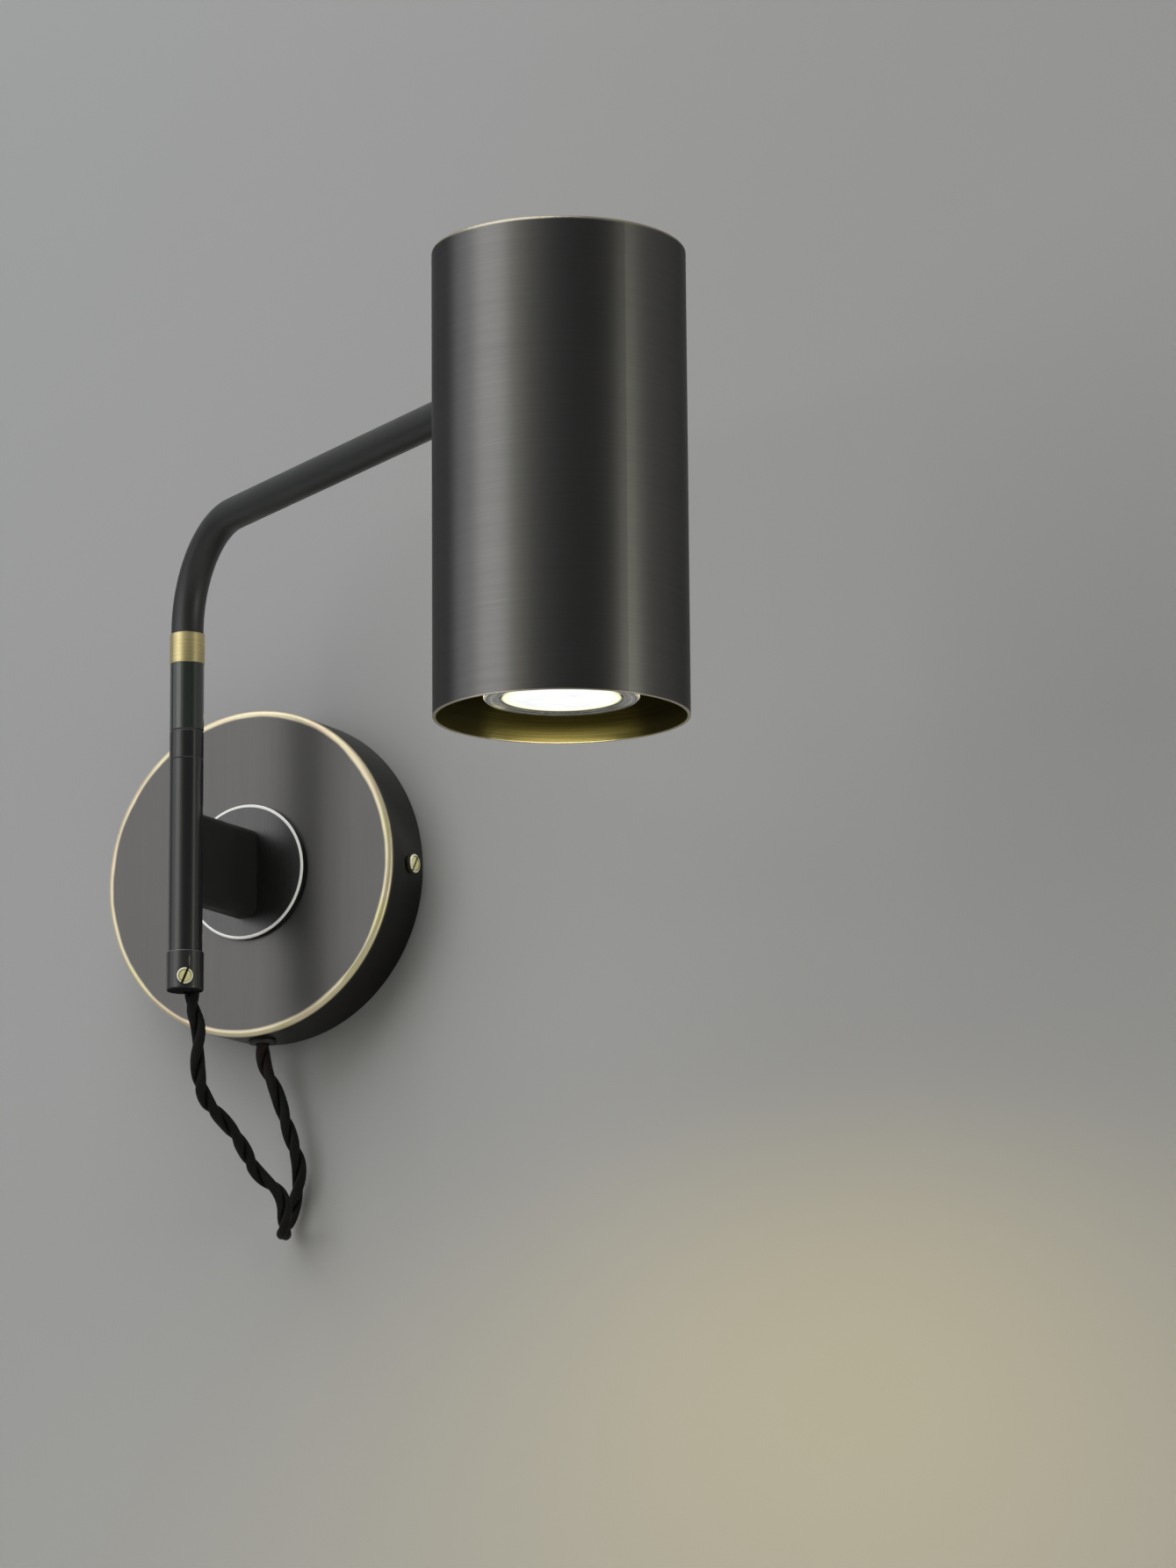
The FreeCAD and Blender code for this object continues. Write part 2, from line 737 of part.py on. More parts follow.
def make_end_cap():
    top = s.cap_height + s.cap_spigot_length
    shoulder = s.cap_height - s.cap_shoulder
    spigot_bore = stem_bore - s.cap_spigot_wall
    body = turned("end_cap", [
        (zero, zero), (s.cap_radius, zero), (s.cap_radius, s.cap_height), (stem_bore, s.cap_height),
        (stem_bore, top), (spigot_bore, top), (spigot_bore, shoulder),
        (s.cap_cavity_radius, shoulder), (s.cap_cavity_radius, s.cap_floor), (zero, s.cap_floor),
    ])
    dress(body, "Fillet", s.cap_round, round_at(s.cap_radius, zero))
    dress(body, "Chamfer", s.stem_edge, round_at(s.cap_radius, s.cap_height))
    exit_turn = s.cord_exit_turn - s.grip_screw_turn
    cord_hole = new_sketch(body, "XY_Plane")
    exit_x = along(s.cord_exit_offset, exit_turn, "cos")
    exit_y = along(s.cord_exit_offset, exit_turn, "sin")
    draw_circle(cord_hole, exit_x, exit_y, s.cord_radius + s.cord_hole_clearance)
    pocket(body, cord_hole, s.cap_floor, backwards=True)
    screw_hole = new_sketch(body, "XZ_Plane")
    draw_circle(screw_hole, zero, s.grip_screw_rise, s.small_screw_radius)
    pocket(body, screw_hole, s.cap_radius + s.overrun, backwards=True)
    seat = new_sketch(body, "XZ_Plane")
    seat.setExpression("AttachmentOffset.Base.z", s.grip_seat.text)
    draw_circle(seat, zero, s.grip_screw_rise, s.grip_head_radius + s.cord_hole_clearance)
    pocket(body, seat, s.overrun, backwards=True)
    place(body, STEM, zero, zero, cap_bottom, "z", s.grip_screw_turn)
    screw = slotted_screw(
        "cord_grip_screw", s.small_screw_radius, s.grip_screw_length,
        s.grip_head_radius, s.grip_head_height)
    turn = "rotation(vector(0; 0; 1); Sizes.grip_screw_turn)"
    turned_stem = f"{STEM} * placement(vector(0; 0; 0); {turn})"
    screw_height = cap_bottom + s.grip_screw_rise
    place(screw, turned_stem, zero, -s.grip_seat, screw_height, "x", as_length(90))


def make_stem_flex():
    exit_x = along(s.cord_exit_offset, s.cord_exit_turn, "cos").value
    exit_y = along(s.cord_exit_offset, s.cord_exit_turn, "sin").value
    bottom = cap_bottom.value
    top = spindle_bottom.value - s.flex_joint_gap.value
    route = [
        (exit_x, exit_y, bottom),
        (exit_x, exit_y, bottom + s.cord_straight.value),
        (0, 0, -s.stem_drop.value),
        (0, 0, top),
    ]
    add_pipe("stem_flex", [route], s.cord_radius.value, STEM)


# Swivel, sleeve, ferrule and joiner: they turn with the arm
def make_swivel():
    washer = ring(
        "swivel_washer", s.spindle_radius + s.running_clearance,
        s.stem_radius - s.swivel_washer_inset, s.swivel_washer_wall)
    place(washer, ARM, zero, zero, collar_top)
    neck = sleeve_bottom - spindle_bottom
    head_top = neck + s.spindle_head_height
    spindle = turned("swivel_spindle", [
        (flex_bore, zero), (s.spindle_radius, zero), (s.spindle_radius, neck), (stem_bore, neck),
        (stem_bore, head_top), (flex_bore, head_top),
    ])
    place(spindle, ARM, zero, zero, spindle_bottom)
    lower_washer = ring(
        "spindle_washer", s.spindle_radius, stem_bore - s.spindle_washer_inset, s.spindle_washer_wall)
    place(lower_washer, ARM, zero, zero, spigot_bottom - s.spindle_washer_wall)
    nut = ring("spindle_nut", s.spindle_radius, stem_bore - s.nut_clearance, s.spindle_nut_height)
    slot = new_sketch(nut, "XY_Plane")
    draw_rectangle(slot, stem_bore, s.nut_slot_width)
    pocket(nut, slot, s.nut_slot_width, backwards=True)
    place(nut, ARM, zero, zero, spindle_bottom + s.spindle_tail)


def make_sleeve():
    sleeve = ring("upper_sleeve", stem_bore, s.stem_radius, s.sleeve_height)
    dress(sleeve, "Chamfer", s.stem_edge, round_at(s.stem_radius, zero))
    place(sleeve, ARM, zero, zero, sleeve_bottom)
    outside = s.arm_radius + s.ferrule_wall
    ferrule = ring("brass_ferrule", s.arm_radius, outside, s.ferrule_height)
    dress(ferrule, "Chamfer", s.ferrule_edge, round_at(outside, zero))
    dress(ferrule, "Chamfer", s.ferrule_edge, round_at(outside, s.ferrule_height))
    place(ferrule, ARM, zero, zero, sleeve_top)
    joiner_rise = s.arm_straight - s.joiner_bend_gap
    joiner = ring(
        "arm_joiner", flex_bore + s.flex_clearance,
        s.arm_radius - s.arm_wall - s.joiner_clearance, s.joiner_depth + joiner_rise)
    place(joiner, ARM, zero, zero, sleeve_top - s.joiner_depth)


# Bent arm: a path sketch and a ring or disc swept along it
def bent_pipe(name, start, end, radii):
    """A pipe up the stem's axis, round the bend and out along the arm to x = end."""
    body = new_body(name)
    rise = s.arm_rise - s.bend_radius - start
    path = new_sketch(body, "XZ_Plane")
    top = s.arm_rise - start
    points = [(0, 0), (0, rise.value), (s.bend_radius.value, top.value), (end.value, top.value)]
    foot, bend_start, bend_end, tip = (FreeCAD.Vector(x, z, 0) for x, z in points)
    centre = FreeCAD.Vector(s.bend_radius.value, rise.value, 0)
    circle = Part.Circle(centre, FreeCAD.Vector(0, 0, 1), s.bend_radius.value)
    upright = path.addGeometry(Part.LineSegment(foot, bend_start), False)
    bend = path.addGeometry(Part.ArcOfCircle(circle, math.pi / 2, math.pi), False)
    level = path.addGeometry(Part.LineSegment(bend_end, tip), False)
    path.addConstraint(Sketcher.Constraint("Tangent", upright, 2, bend, 2))
    path.addConstraint(Sketcher.Constraint("Tangent", bend, 1, level, 1))
    pin_point(path, upright, 1, zero, zero)
    pin_point(path, bend, 3, s.bend_radius, rise)
    pin_point(path, level, 2, end, top)
    path.addConstraint(Sketcher.Constraint("PointOnObject", upright, 2, -2))
    section = new_sketch(body, "XY_Plane")
    for radius in radii:
        draw_circle(section, zero, zero, radius)
    doc.recompute()
    feature = body.newObject("PartDesign::AdditivePipe", f"{name}_pipe")
    feature.Profile = section
    feature.Spine = (path, ["Edge1", "Edge2", "Edge3"])
    doc.recompute()
    place(body, ARM, zero, zero, start)
    return body


def make_arm():
    bent_pipe("arm_tube", sleeve_top, journal_start, [s.arm_radius, s.arm_radius - s.arm_wall])
    bent_pipe("arm_flex", spindle_bottom, journal_start, [s.cord_radius])


# Tilt joint: pieces turned about the arm's axis, placed along it
def on_arm(item, x):
    place(item, ARM, x, zero, s.arm_rise, "y", as_length(90))


def make_end_socket():
    bore = s.tilt_spindle_radius + s.running_clearance
    body = turned("end_socket", [
        (s.arm_radius, zero), (s.socket_radius, zero), (s.socket_radius, s.socket_length),
        (bore, s.socket_length), (bore, s.socket_depth), (s.arm_radius, s.socket_depth),
    ])
    dress(body, "Chamfer", s.socket_edge, round_at(s.socket_radius, zero))
    hole = new_sketch(body, "YZ_Plane")
    draw_circle(hole, zero, s.socket_length - s.groove_inset, s.small_screw_radius)
    pocket(body, hole, s.socket_radius + s.overrun, backwards=True)
    on_arm(body, socket_start)
    tip = s.socket_radius - (s.tilt_spindle_radius - s.groove_depth + s.groove_clearance)
    shank = s.socket_radius - bore
    screw = turned("tilt_stop_screw", [
        (zero, zero), (s.small_screw_radius, zero), (s.small_screw_radius, shank),
        (s.tilt_stop_radius, shank), (s.tilt_stop_radius, tip), (zero, tip),
    ])
    slot = new_sketch(screw, "XY_Plane")
    draw_rectangle(slot, s.small_screw_radius, s.driver_slot_width)
    pocket(screw, slot, s.driver_slot_width, backwards=True)
    place(screw, ARM, socket_start + s.socket_length - s.groove_inset, zero,
          s.arm_rise - s.socket_radius)


def make_tilt_joint():
    washer = ring(
        "tilt_washer", s.tilt_spindle_radius + s.running_clearance,
        s.socket_radius - s.tilt_washer_inset, s.tilt_washer_wall)
    on_arm(washer, socket_start + s.socket_length)
    length = thread_end - spindle_start
    spindle = ring("tilt_spindle", flex_bore, s.tilt_spindle_radius, length)
    section = new_sketch(spindle, "XZ_Plane")
    middle = socket_start + s.socket_length - s.groove_inset - spindle_start
    floor = s.tilt_spindle_radius - s.groove_depth
    outside = s.tilt_spindle_radius + s.overrun
    low, high = middle - s.groove_width / 2, middle + s.groove_width / 2
    draw_outline(section, [(floor, low), (outside, low), (outside, high), (floor, high)])
    groove(spindle, section, s.groove_sweep)
    on_arm(spindle, spindle_start)
    collar = ring(
        "shade_collar", s.tilt_spindle_radius, s.socket_radius, s.shade_collar_height + s.shade_wall)
    saddle = new_sketch(collar, "YZ_Plane")
    draw_circle(saddle, zero, s.shade_collar_height + s.shade_radius, s.shade_radius)
    pocket(collar, saddle, (s.socket_radius + s.overrun) * 2, middle=True)
    on_arm(collar, collar_start)
    inner_washer = ring(
        "bracket_washer", s.tilt_spindle_radius, s.bracket_washer_radius, s.bracket_washer_wall)
    on_arm(inner_washer, leg_face + s.lamp_bracket_wall)
    make_lock_nut()


def make_lock_nut():
    body = new_body("lock_nut")
    outline = new_sketch(body, "XY_Plane")
    half_flat = s.lock_nut_flats / 2
    corner = side_from_flat(s.lock_nut_flats)
    half_corner = corner / 2
    draw_outline(outline, [
        (corner, zero), (half_corner, half_flat), (-half_corner, half_flat),
        (-corner, zero), (-half_corner, -half_flat), (half_corner, -half_flat),
    ])
    pad(body, outline, s.lock_nut_height)
    bore = new_sketch(body, "XY_Plane")
    draw_circle(bore, zero, zero, s.tilt_spindle_radius)
    pocket(body, bore, s.lock_nut_height + s.overrun, backwards=True)
    on_arm(body, leg_face + s.lamp_bracket_wall + s.bracket_washer_wall)


def side_from_flat(flats):
    """A hexagon's corner radius, from its width across flats."""
    return Length(flats.value / math.sqrt(3), f"({flats.text} / sqrt(3))")


# Shade and what it carries, in a frame at the middle of the mouth
def in_shade(item, x, y, z):
    place(item, ARM, s.reach + x, y, mouth_height + z)


def make_shade():
    inside = s.shade_radius - s.shade_wall
    ceiling = s.shade_height - s.shade_top_wall
    body = turned("shade_shell", [
        (s.shade_radius, zero), (s.shade_radius, s.shade_height), (zero, s.shade_height),
        (zero, ceiling), (inside, ceiling), (inside, zero),
    ])
    dress(body, "Fillet", s.shade_top_round, round_at(s.shade_radius, s.shade_height))
    hole = new_sketch(body, "YZ_Plane")
    draw_circle(hole, zero, s.joint_height, s.tilt_spindle_radius + s.shade_hole_clearance)
    pocket(body, hole, s.shade_radius + s.overrun)
    in_shade(body, zero, zero, zero)


def make_lamp_bracket():
    body = new_body("lamp_bracket")
    profile = new_sketch(body, "XZ_Plane")
    leg = leg_face - s.reach
    inner_leg = leg + s.lamp_bracket_wall
    foot_top = holder_top + s.lamp_bracket_wall
    leg_top = s.joint_height + s.lamp_bracket_rise
    draw_outline(profile, [
        (leg, holder_top), (s.foot_past_axis, holder_top), (s.foot_past_axis, foot_top),
        (inner_leg, foot_top), (inner_leg, leg_top), (leg, leg_top),
    ])
    pad(body, profile, s.lamp_bracket_width, middle=True)
    dress(body, "Fillet", s.lamp_bracket_bend, edges_along("y", x=leg, z=holder_top))
    inner_bend = s.lamp_bracket_bend - s.lamp_bracket_wall
    dress(body, "Fillet", inner_bend, edges_along("y", x=inner_leg, z=foot_top))
    spindle_hole = new_sketch(body, "YZ_Plane")
    draw_circle(spindle_hole, zero, s.joint_height, s.tilt_spindle_radius)
    pocket(body, spindle_hole, s.shade_radius)
    foot_holes = new_sketch(body, "XY_Plane")
    draw_circle(foot_holes, zero, zero, s.cord_radius + s.foot_hole_clearance)
    for side in (s.holder_screw_spacing / 2, -s.holder_screw_spacing / 2):
        draw_circle(foot_holes, side, zero, s.small_screw_radius + s.screw_clearance)
    pocket(body, foot_holes, foot_top + s.overrun, backwards=True)
    in_shade(body, zero, zero, zero)


def make_lampholder():
    body = new_body("lampholder")
    outline = new_sketch(body, "XY_Plane")
    draw_slot(outline, zero, zero, s.holder_radius - s.holder_flat, s.holder_flat)
    pad(body, outline, s.holder_height)
    dress(body, "Chamfer", s.holder_edge, edges_at(zero))
    dress(body, "Chamfer", s.holder_edge, edges_at(s.holder_height))
    keys = new_sketch(body, "XY_Plane")
    half_run = s.key_slot_run / 2
    for pin, middle in ((s.pin_spacing / 2, half_run), (-s.pin_spacing / 2, -half_run)):
        draw_slot(keys, pin, middle, half_run, s.key_slot_radius, upright=True)
    pocket(body, keys, s.key_slot_depth, backwards=True)
    top = new_sketch(body, "XY_Plane")
    top.setExpression("AttachmentOffset.Base.z", s.holder_height.text)
    for side in (s.holder_screw_spacing / 2, -s.holder_screw_spacing / 2):
        draw_circle(top, side, zero, s.small_screw_radius)
    pocket(body, top, s.holder_screw_bite)
    lead_hole = new_sketch(body, "XY_Plane")
    lead_hole.setExpression("AttachmentOffset.Base.z", s.holder_height.text)
    draw_circle(lead_hole, zero, zero, s.cord_radius + s.foot_hole_clearance)
    pocket(body, lead_hole, s.holder_lead_depth)
    in_shade(body, zero, zero, lamp_top)
    screws = []
    length = s.lamp_bracket_wall + s.holder_screw_bite - s.screw_clearance
    for name, side in (("far", s.holder_screw_spacing / 2), ("near", -s.holder_screw_spacing / 2)):
        screw = slotted_screw(
            f"{name}_holder_screw", s.small_screw_radius, length,
            s.small_head_radius, s.small_head_height)
        in_shade(screw, side, zero, holder_top + s.lamp_bracket_wall)
        screws.append(screw)
    joined("lampholder_screws", screws)


def make_lamp():
    rim_top = s.lamp_rim_height
    shoulder = s.lamp_height - s.lamp_neck_height
    neck_start = shoulder + (s.lamp_shoulder_radius - s.lamp_neck_radius)
    bulb = turned("bulb_body", [
        (zero, s.lamp_ring_height), (s.lamp_radius, s.lamp_ring_height), (s.lamp_radius, rim_top),
        (s.lamp_cup_radius, rim_top), (s.lamp_cup_radius, s.lamp_cup_height),
        (s.lamp_shoulder_radius, shoulder), (s.lamp_neck_radius, neck_start),
        (s.lamp_neck_radius, s.lamp_height), (zero, s.lamp_height),
    ])
    bevel = s.lamp_ring_bevel / 2
    rim = turned("bulb_ring", [
        (s.lens_radius, s.lens_recess), (s.lens_radius + s.lamp_ring_bevel, zero),
        (s.lamp_radius - bevel, zero), (s.lamp_radius, bevel),
        (s.lamp_radius, s.lamp_ring_height), (s.lens_radius, s.lamp_ring_height),
    ])
    lens = turned("bulb_lens", [
        (zero, s.lens_recess), (s.lens_radius, s.lens_recess),
        (s.lens_radius, s.lamp_ring_height), (zero, s.lamp_ring_height),
    ])
    for item in (bulb, rim, lens):
        in_shade(item, zero, zero, s.lamp_face)
    pins = []
    for name, side in (("far", s.pin_spacing / 2), ("near", -s.pin_spacing / 2)):
        stalk = s.pin_length - s.pin_head_height
        pin = turned(f"{name}_bulb_pin", [
            (zero, zero), (s.pin_radius, zero), (s.pin_radius, stalk), (s.pin_head_radius, stalk),
            (s.pin_head_radius, s.pin_length), (zero, s.pin_length),
        ])
        in_shade(pin, side, zero, lamp_top)
        pins.append(pin)
    joined("bulb_pins", pins)


def make_shade_flex():
    corner = s.flex_corner.value
    middle = s.reach.value
    level = s.arm_rise.value
    end = mouth_height.value + holder_top.value - s.holder_lead_depth.value
    route = [
        (spindle_start.value, 0, level),
        (middle - corner, 0, level),
        (middle, 0, level - corner),
        (middle, 0, end),
    ]
    add_pipe("shade_flex", [route], s.cord_radius.value, ARM)


# Cord, leads and the grommet they pass through
def rounded_path(points):
    """Straight runs through the points, joined by tangent arcs as large as the runs allow."""
    corners = [FreeCAD.Vector(*point) for point in points]
    edges = []
    radii = []
    start = corners[0]
    for before, corner, after in zip(corners, corners[1:], corners[2:]):
        back = before - corner
        ahead = after - corner
        reach = ARC_SHARE * min(back.Length, ahead.Length)
        half_turn = (math.pi - back.getAngle(ahead)) / 2
        radius = reach / math.tan(half_turn)
        back.normalize()
        ahead.normalize()
        enter = corner + back * reach
        leave = corner + ahead * reach
        inward = (back + ahead).normalize()
        middle = corner + inward * (radius / math.cos(half_turn) - radius)
        edges.append(Part.LineSegment(start, enter).toShape())
        edges.append(Part.Arc(enter, middle, leave).toShape())
        radii.append(radius)
        start = leave
    edges.append(Part.LineSegment(start, corners[-1]).toShape())
    return Part.Wire(edges), radii


def add_pipe(name, routes, radius, frame):
    """Round tubes along the routes, as one node, with their radii and volumes printed."""
    solids = []
    for route in routes:
        path, radii = rounded_path(route)
        start = FreeCAD.Vector(*route[0])
        direction = FreeCAD.Vector(*route[1]) - start
        section = Part.Wire(Part.makeCircle(radius, start, direction))
        solid = path.makePipeShell([section], True, False)
        expected = math.pi * radius ** 2 * path.Length
        print(name, "length", round(path.Length, 1), "least radius", round(min(radii), 1),
              "radii", [round(item, 1) for item in radii],
              "volume share", round(solid.Volume / expected, 4))
        solids.append(solid)
    item = doc.addObject("Part::Feature", name)
    item.Label = name
    item.Shape = solids[0] if len(solids) == 1 else Part.makeCompound(solids)
    place(item, frame, zero, zero, zero)
    parts[name] = item


def make_cord():
    add_pipe("cord_loop", [CORD_ROUTE], s.cord_radius.value, WALL)
    bottom = -grommet_face.value
    depth = s.grommet_depth.value
    pole_depth = s.bracket_wall.value + s.block_depth.value / 2
    block_bottom = -s.block_width.value / 2
    routes = []
    for side in (-1, 1):
        beside = side * s.lead_radius.value
        pole = side * s.pole_spacing.value / 2 - s.block_place.value
        climb = block_bottom - bottom
        routes.append([
            (beside, -depth, bottom),
            (beside, -depth, bottom + climb * LEAD_RISE_SHARES[0]),
            (pole * LEAD_SIDE_SHARE + beside, -depth, bottom + climb * LEAD_RISE_SHARES[1]),
            (pole, -pole_depth, bottom + climb * LEAD_RISE_SHARES[2]),
            (pole, -pole_depth, block_bottom + s.lead_tail.value),
        ])
    add_pipe("canopy_leads", routes, s.lead_radius.value, WALL)


def make_grommet():
    neck_end = s.grommet_flange_height + s.grommet_neck_length
    top = neck_end + s.grommet_flange_height
    body = turned("cord_grommet", [
        (s.cord_radius, zero), (s.grommet_flange_radius, zero),
        (s.grommet_flange_radius, s.grommet_flange_height),
        (s.grommet_neck_radius, s.grommet_flange_height), (s.grommet_neck_radius, neck_end),
        (s.grommet_flange_radius, neck_end), (s.grommet_flange_radius, top), (s.cord_radius, top),
    ])
    dress(body, "Fillet", s.grommet_round, round_at(s.grommet_flange_radius, zero))
    place(body, WALL, zero, -s.grommet_depth, -grommet_face)


def check_and_write():
    """Stop on a failed object or a bad shape, then write each piece to its own file."""
    doc.recompute()
    for item in doc.Objects:
        if "Invalid" in item.State or "Error" in item.State:
            raise RuntimeError(f"{item.Name} failed: {item.State}")
    for name, item in parts.items():
        if item.Shape.isNull() or not item.Shape.isValid():
            raise RuntimeError(f"{name} has no valid shape")
    os.makedirs("parts", exist_ok=True)
    for name, item in parts.items():
        item.Shape.exportStep(os.path.join("parts", f"{name}.step"))
    print(len(parts), "pieces written")


# Places that several pieces share, all worked out from the sheet
backing_depth = s.canopy_depth - s.canopy_wall - s.backing_wall
boss_face = s.canopy_depth + s.boss_height
stem_bore = s.stem_radius - s.stem_wall
cap_bottom = -(s.stem_drop + s.cap_height)
sleeve_top = s.arm_rise - s.bend_radius - s.arm_straight
sleeve_bottom = sleeve_top - s.sleeve_height
collar_top = sleeve_bottom - s.swivel_washer_wall
stem_rise = collar_top - s.collar_height
spigot_bottom = stem_rise - s.spigot_length
spindle_bottom = spigot_bottom - s.spindle_washer_wall - s.spindle_nut_height - s.spindle_tail
flex_bore = s.cord_radius + s.flex_clearance
grommet_face = s.canopy_radius + s.grommet_seat_clearance + s.grommet_flange_height
collar_start = s.reach - s.shade_radius - s.shade_collar_height
socket_start = collar_start - s.tilt_washer_wall - s.socket_length
journal_start = socket_start + s.socket_depth
spindle_start = journal_start + s.spindle_start_gap
leg_chord = side_of(s.lamp_bracket_width / 2, s.shade_radius - s.shade_wall)
leg_face = s.reach - leg_chord + s.bracket_wall_gap
thread_end = (leg_face + s.lamp_bracket_wall + s.bracket_washer_wall + s.lock_nut_height
              + s.thread_tail)
mouth_height = s.arm_rise - s.joint_height
lamp_top = s.lamp_face + s.lamp_height
holder_top = lamp_top + s.holder_height

make_canopy()
make_canopy_side_screws()
make_bracket()
make_earth_screw()
make_terminal_block()
make_terminal_screws()
make_block_screw()
make_boss()
make_bar()
make_bar_screws()
make_stem()
make_end_cap()
make_stem_flex()
make_swivel()
make_sleeve()
make_arm()
make_end_socket()
make_tilt_joint()
make_shade()
make_lamp_bracket()
make_lampholder()
make_lamp()
make_shade_flex()
make_grommet()
make_cord()
check_and_write()
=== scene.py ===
import math

import bmesh
import bpy
from mathutils import Matrix, Vector


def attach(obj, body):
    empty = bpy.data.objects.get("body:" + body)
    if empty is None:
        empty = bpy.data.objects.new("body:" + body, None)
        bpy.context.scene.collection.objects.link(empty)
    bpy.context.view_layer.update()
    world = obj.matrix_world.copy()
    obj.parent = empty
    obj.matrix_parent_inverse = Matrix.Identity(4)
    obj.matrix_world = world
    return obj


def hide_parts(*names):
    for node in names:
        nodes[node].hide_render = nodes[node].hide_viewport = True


# Wall lamp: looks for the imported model. Metres, +Z up, and the wall is the plane y = 0.

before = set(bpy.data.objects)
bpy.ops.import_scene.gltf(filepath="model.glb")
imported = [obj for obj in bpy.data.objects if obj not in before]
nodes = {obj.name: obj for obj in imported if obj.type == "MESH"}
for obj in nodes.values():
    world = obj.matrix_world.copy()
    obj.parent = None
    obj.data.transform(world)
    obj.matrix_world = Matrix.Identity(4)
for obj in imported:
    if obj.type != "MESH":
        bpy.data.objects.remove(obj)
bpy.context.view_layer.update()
scene = bpy.context.scene

# Camera, from the photograph
PHOTO_HEIGHT = 1786
CAMERA_PLACE = Vector((1.047027, -1.73304, -0.379223))
CAMERA_AZIMUTH = math.radians(27.942)
CAMERA_PITCH = math.radians(11.609)
CAMERA_ROLL = math.radians(-0.434)
FOCAL_PIXELS = 6396.8
SENSOR = 36.0

# The lamp's main places and sizes
ORIGIN = (0.0, 0.0, 0.0)
SHADE_AXIS = (0.224578, -0.199940, 0.0)
SHADE_RADIUS = 0.041
SHADE_HEIGHT = 0.1533
CANOPY_RADIUS = 0.060
CANOPY_DEPTH = 0.023
BOSS_RADIUS = 0.02475
BOSS_FACE = -0.0255
STEM_AXIS = Vector((0.0, -0.065, 0.0))
COLLAR_SEAMS = (0.0341, 0.0442)
CAP_TOP = -0.0357
CAP_FOOT = -0.0494
LENS_FACE = 0.0060

# Directions that count in a distance: from an upright axis, and from one square to the wall
UPRIGHT = (1.0, 1.0, 0.0)
OUTWARD = (1.0, 0.0, 1.0)

# Bands of wear, of painted highlights and of bare metal, each with the two places between which it comes or
# goes
CANOPY_WEAR = (CANOPY_RADIUS - 0.0028, CANOPY_RADIUS - 0.0015)
CANOPY_WEAR_DEPTH = (0.0010 - CANOPY_DEPTH, 0.0019 - CANOPY_DEPTH)
CANOPY_SKIN = (0.0007, 0.0009)
CANOPY_BARE = (0.0009, 0.0011)
CANOPY_BLACK = (-0.0222, -0.0195)
BOSS_HIGHLIGHT = (BOSS_RADIUS - 0.0011, BOSS_RADIUS - 0.0008)
BOSS_HIGHLIGHT_DEPTH = (BOSS_FACE + 0.0003, BOSS_FACE + 0.0005)
SHADE_TOP_WEAR = (SHADE_HEIGHT - 0.0014, SHADE_HEIGHT - 0.0006)
SHADE_OUTER = (SHADE_RADIUS - 0.0022, SHADE_RADIUS - 0.0012)
SHADE_LIP = (0.0001, 0.0003)
SHADE_BORE = (SHADE_RADIUS - 0.0009, SHADE_RADIUS - 0.0006)
SHADE_CEILING = (SHADE_HEIGHT - 0.0006, SHADE_HEIGHT - 0.0004)

# Rings on the front of the lit lamp, as radii
LENS_WARM = (0.0150, 0.0176)
LENS_RIM = (0.0180, 0.0189)
RING_FOOT = (0.0191, 0.0196)
RING_LINE = 0.0224
RING_EDGE = (0.02405, 0.0243)
RING_SIDE = (0.02469, 0.02474)

# Brass screws: the end cap's faces the room at an angle, the canopy's stand on its rim
CAP_SCREW_TURN = math.radians(32.0)
CAP_SCREW_AXIS = Vector((math.sin(CAP_SCREW_TURN), -math.cos(CAP_SCREW_TURN), 0.0))
CAP_SCREW_SEAT = Vector((0.0, STEM_AXIS.y, -0.0451)) + 0.0059 * CAP_SCREW_AXIS
CAP_SCREW_HEAD = 0.0029
CAP_SCREW_RISE = 0.0015
SIDE_SCREW_DEPTH = 0.0082
SIDE_SCREW_HEAD = 0.0034
SIDE_SCREW_RISE = 0.0018
SLOT_WIDTH = 0.0009
SLOT_DEPTH = 0.0008
HEAD_SIDES = 48
SHARP_ANGLE = math.radians(28.0)

# Twisted cord: two covered strands, whose turn round each other wanders a little
STRAND_RADIUS = 0.00140
STRAND_WIDTH = 0.00185
STRAND_OFFSET = 0.00130
STRAND_PITCH = 0.0275
STRAND_SIDES = 14
STRAND_STEP = 0.00045
TURN_WANDER = 0.35
WANDER_RATE = 170.0
LEAD_RADIUS = 0.00128
LEAD_GAP = 0.0013
POLE_GAP = 0.004
BLOCK_MIDDLE = -0.0195
CAP_HOLE = (0.00167, -0.06301)

# Route of the free cord, from the end cap round the fold and up to the grommet
CORD_ROUTE = [
    (0.00167, -0.06301, -0.0497),
    (0.00167, -0.06301, -0.0552),
    (0.0042, -0.0617, -0.0628),
    (0.0023, -0.0607, -0.0759),
    (0.0024, -0.0556, -0.0878),
    (0.0041, -0.0432, -0.0942),
    (0.0034, -0.031, -0.1009),
    (0.0041, -0.0229, -0.1102),
    (0.013, -0.0172, -0.1177),
    (0.0119, -0.0166, -0.1313),
    (0.0051, -0.0048, -0.1302),
    (0.0094, -0.0035, -0.1175),
    (0.012, -0.0051, -0.1064),
    (0.0101, -0.007, -0.0984),
    (0.0072, -0.009, -0.0871),
    (0.0041, -0.0103, -0.0765),
    (0.0, -0.012, -0.0685),
    (0.0, -0.012, -0.0614),
]

# The arm, and where its flex stops and the shade's flex starts, out from the swivel's axis
ARM_DIRECTION = Vector((0.857167, -0.515038, 0.0))
ARM_HEIGHT = 0.1170
BEND_RADIUS = 0.036
BEND_REACH = BEND_RADIUS * math.tan(math.radians(22.5))
ARM_FLEX_END = 0.2073
SHADE_FLEX_START = 0.2094
HOLDER_REACH = 0.2620

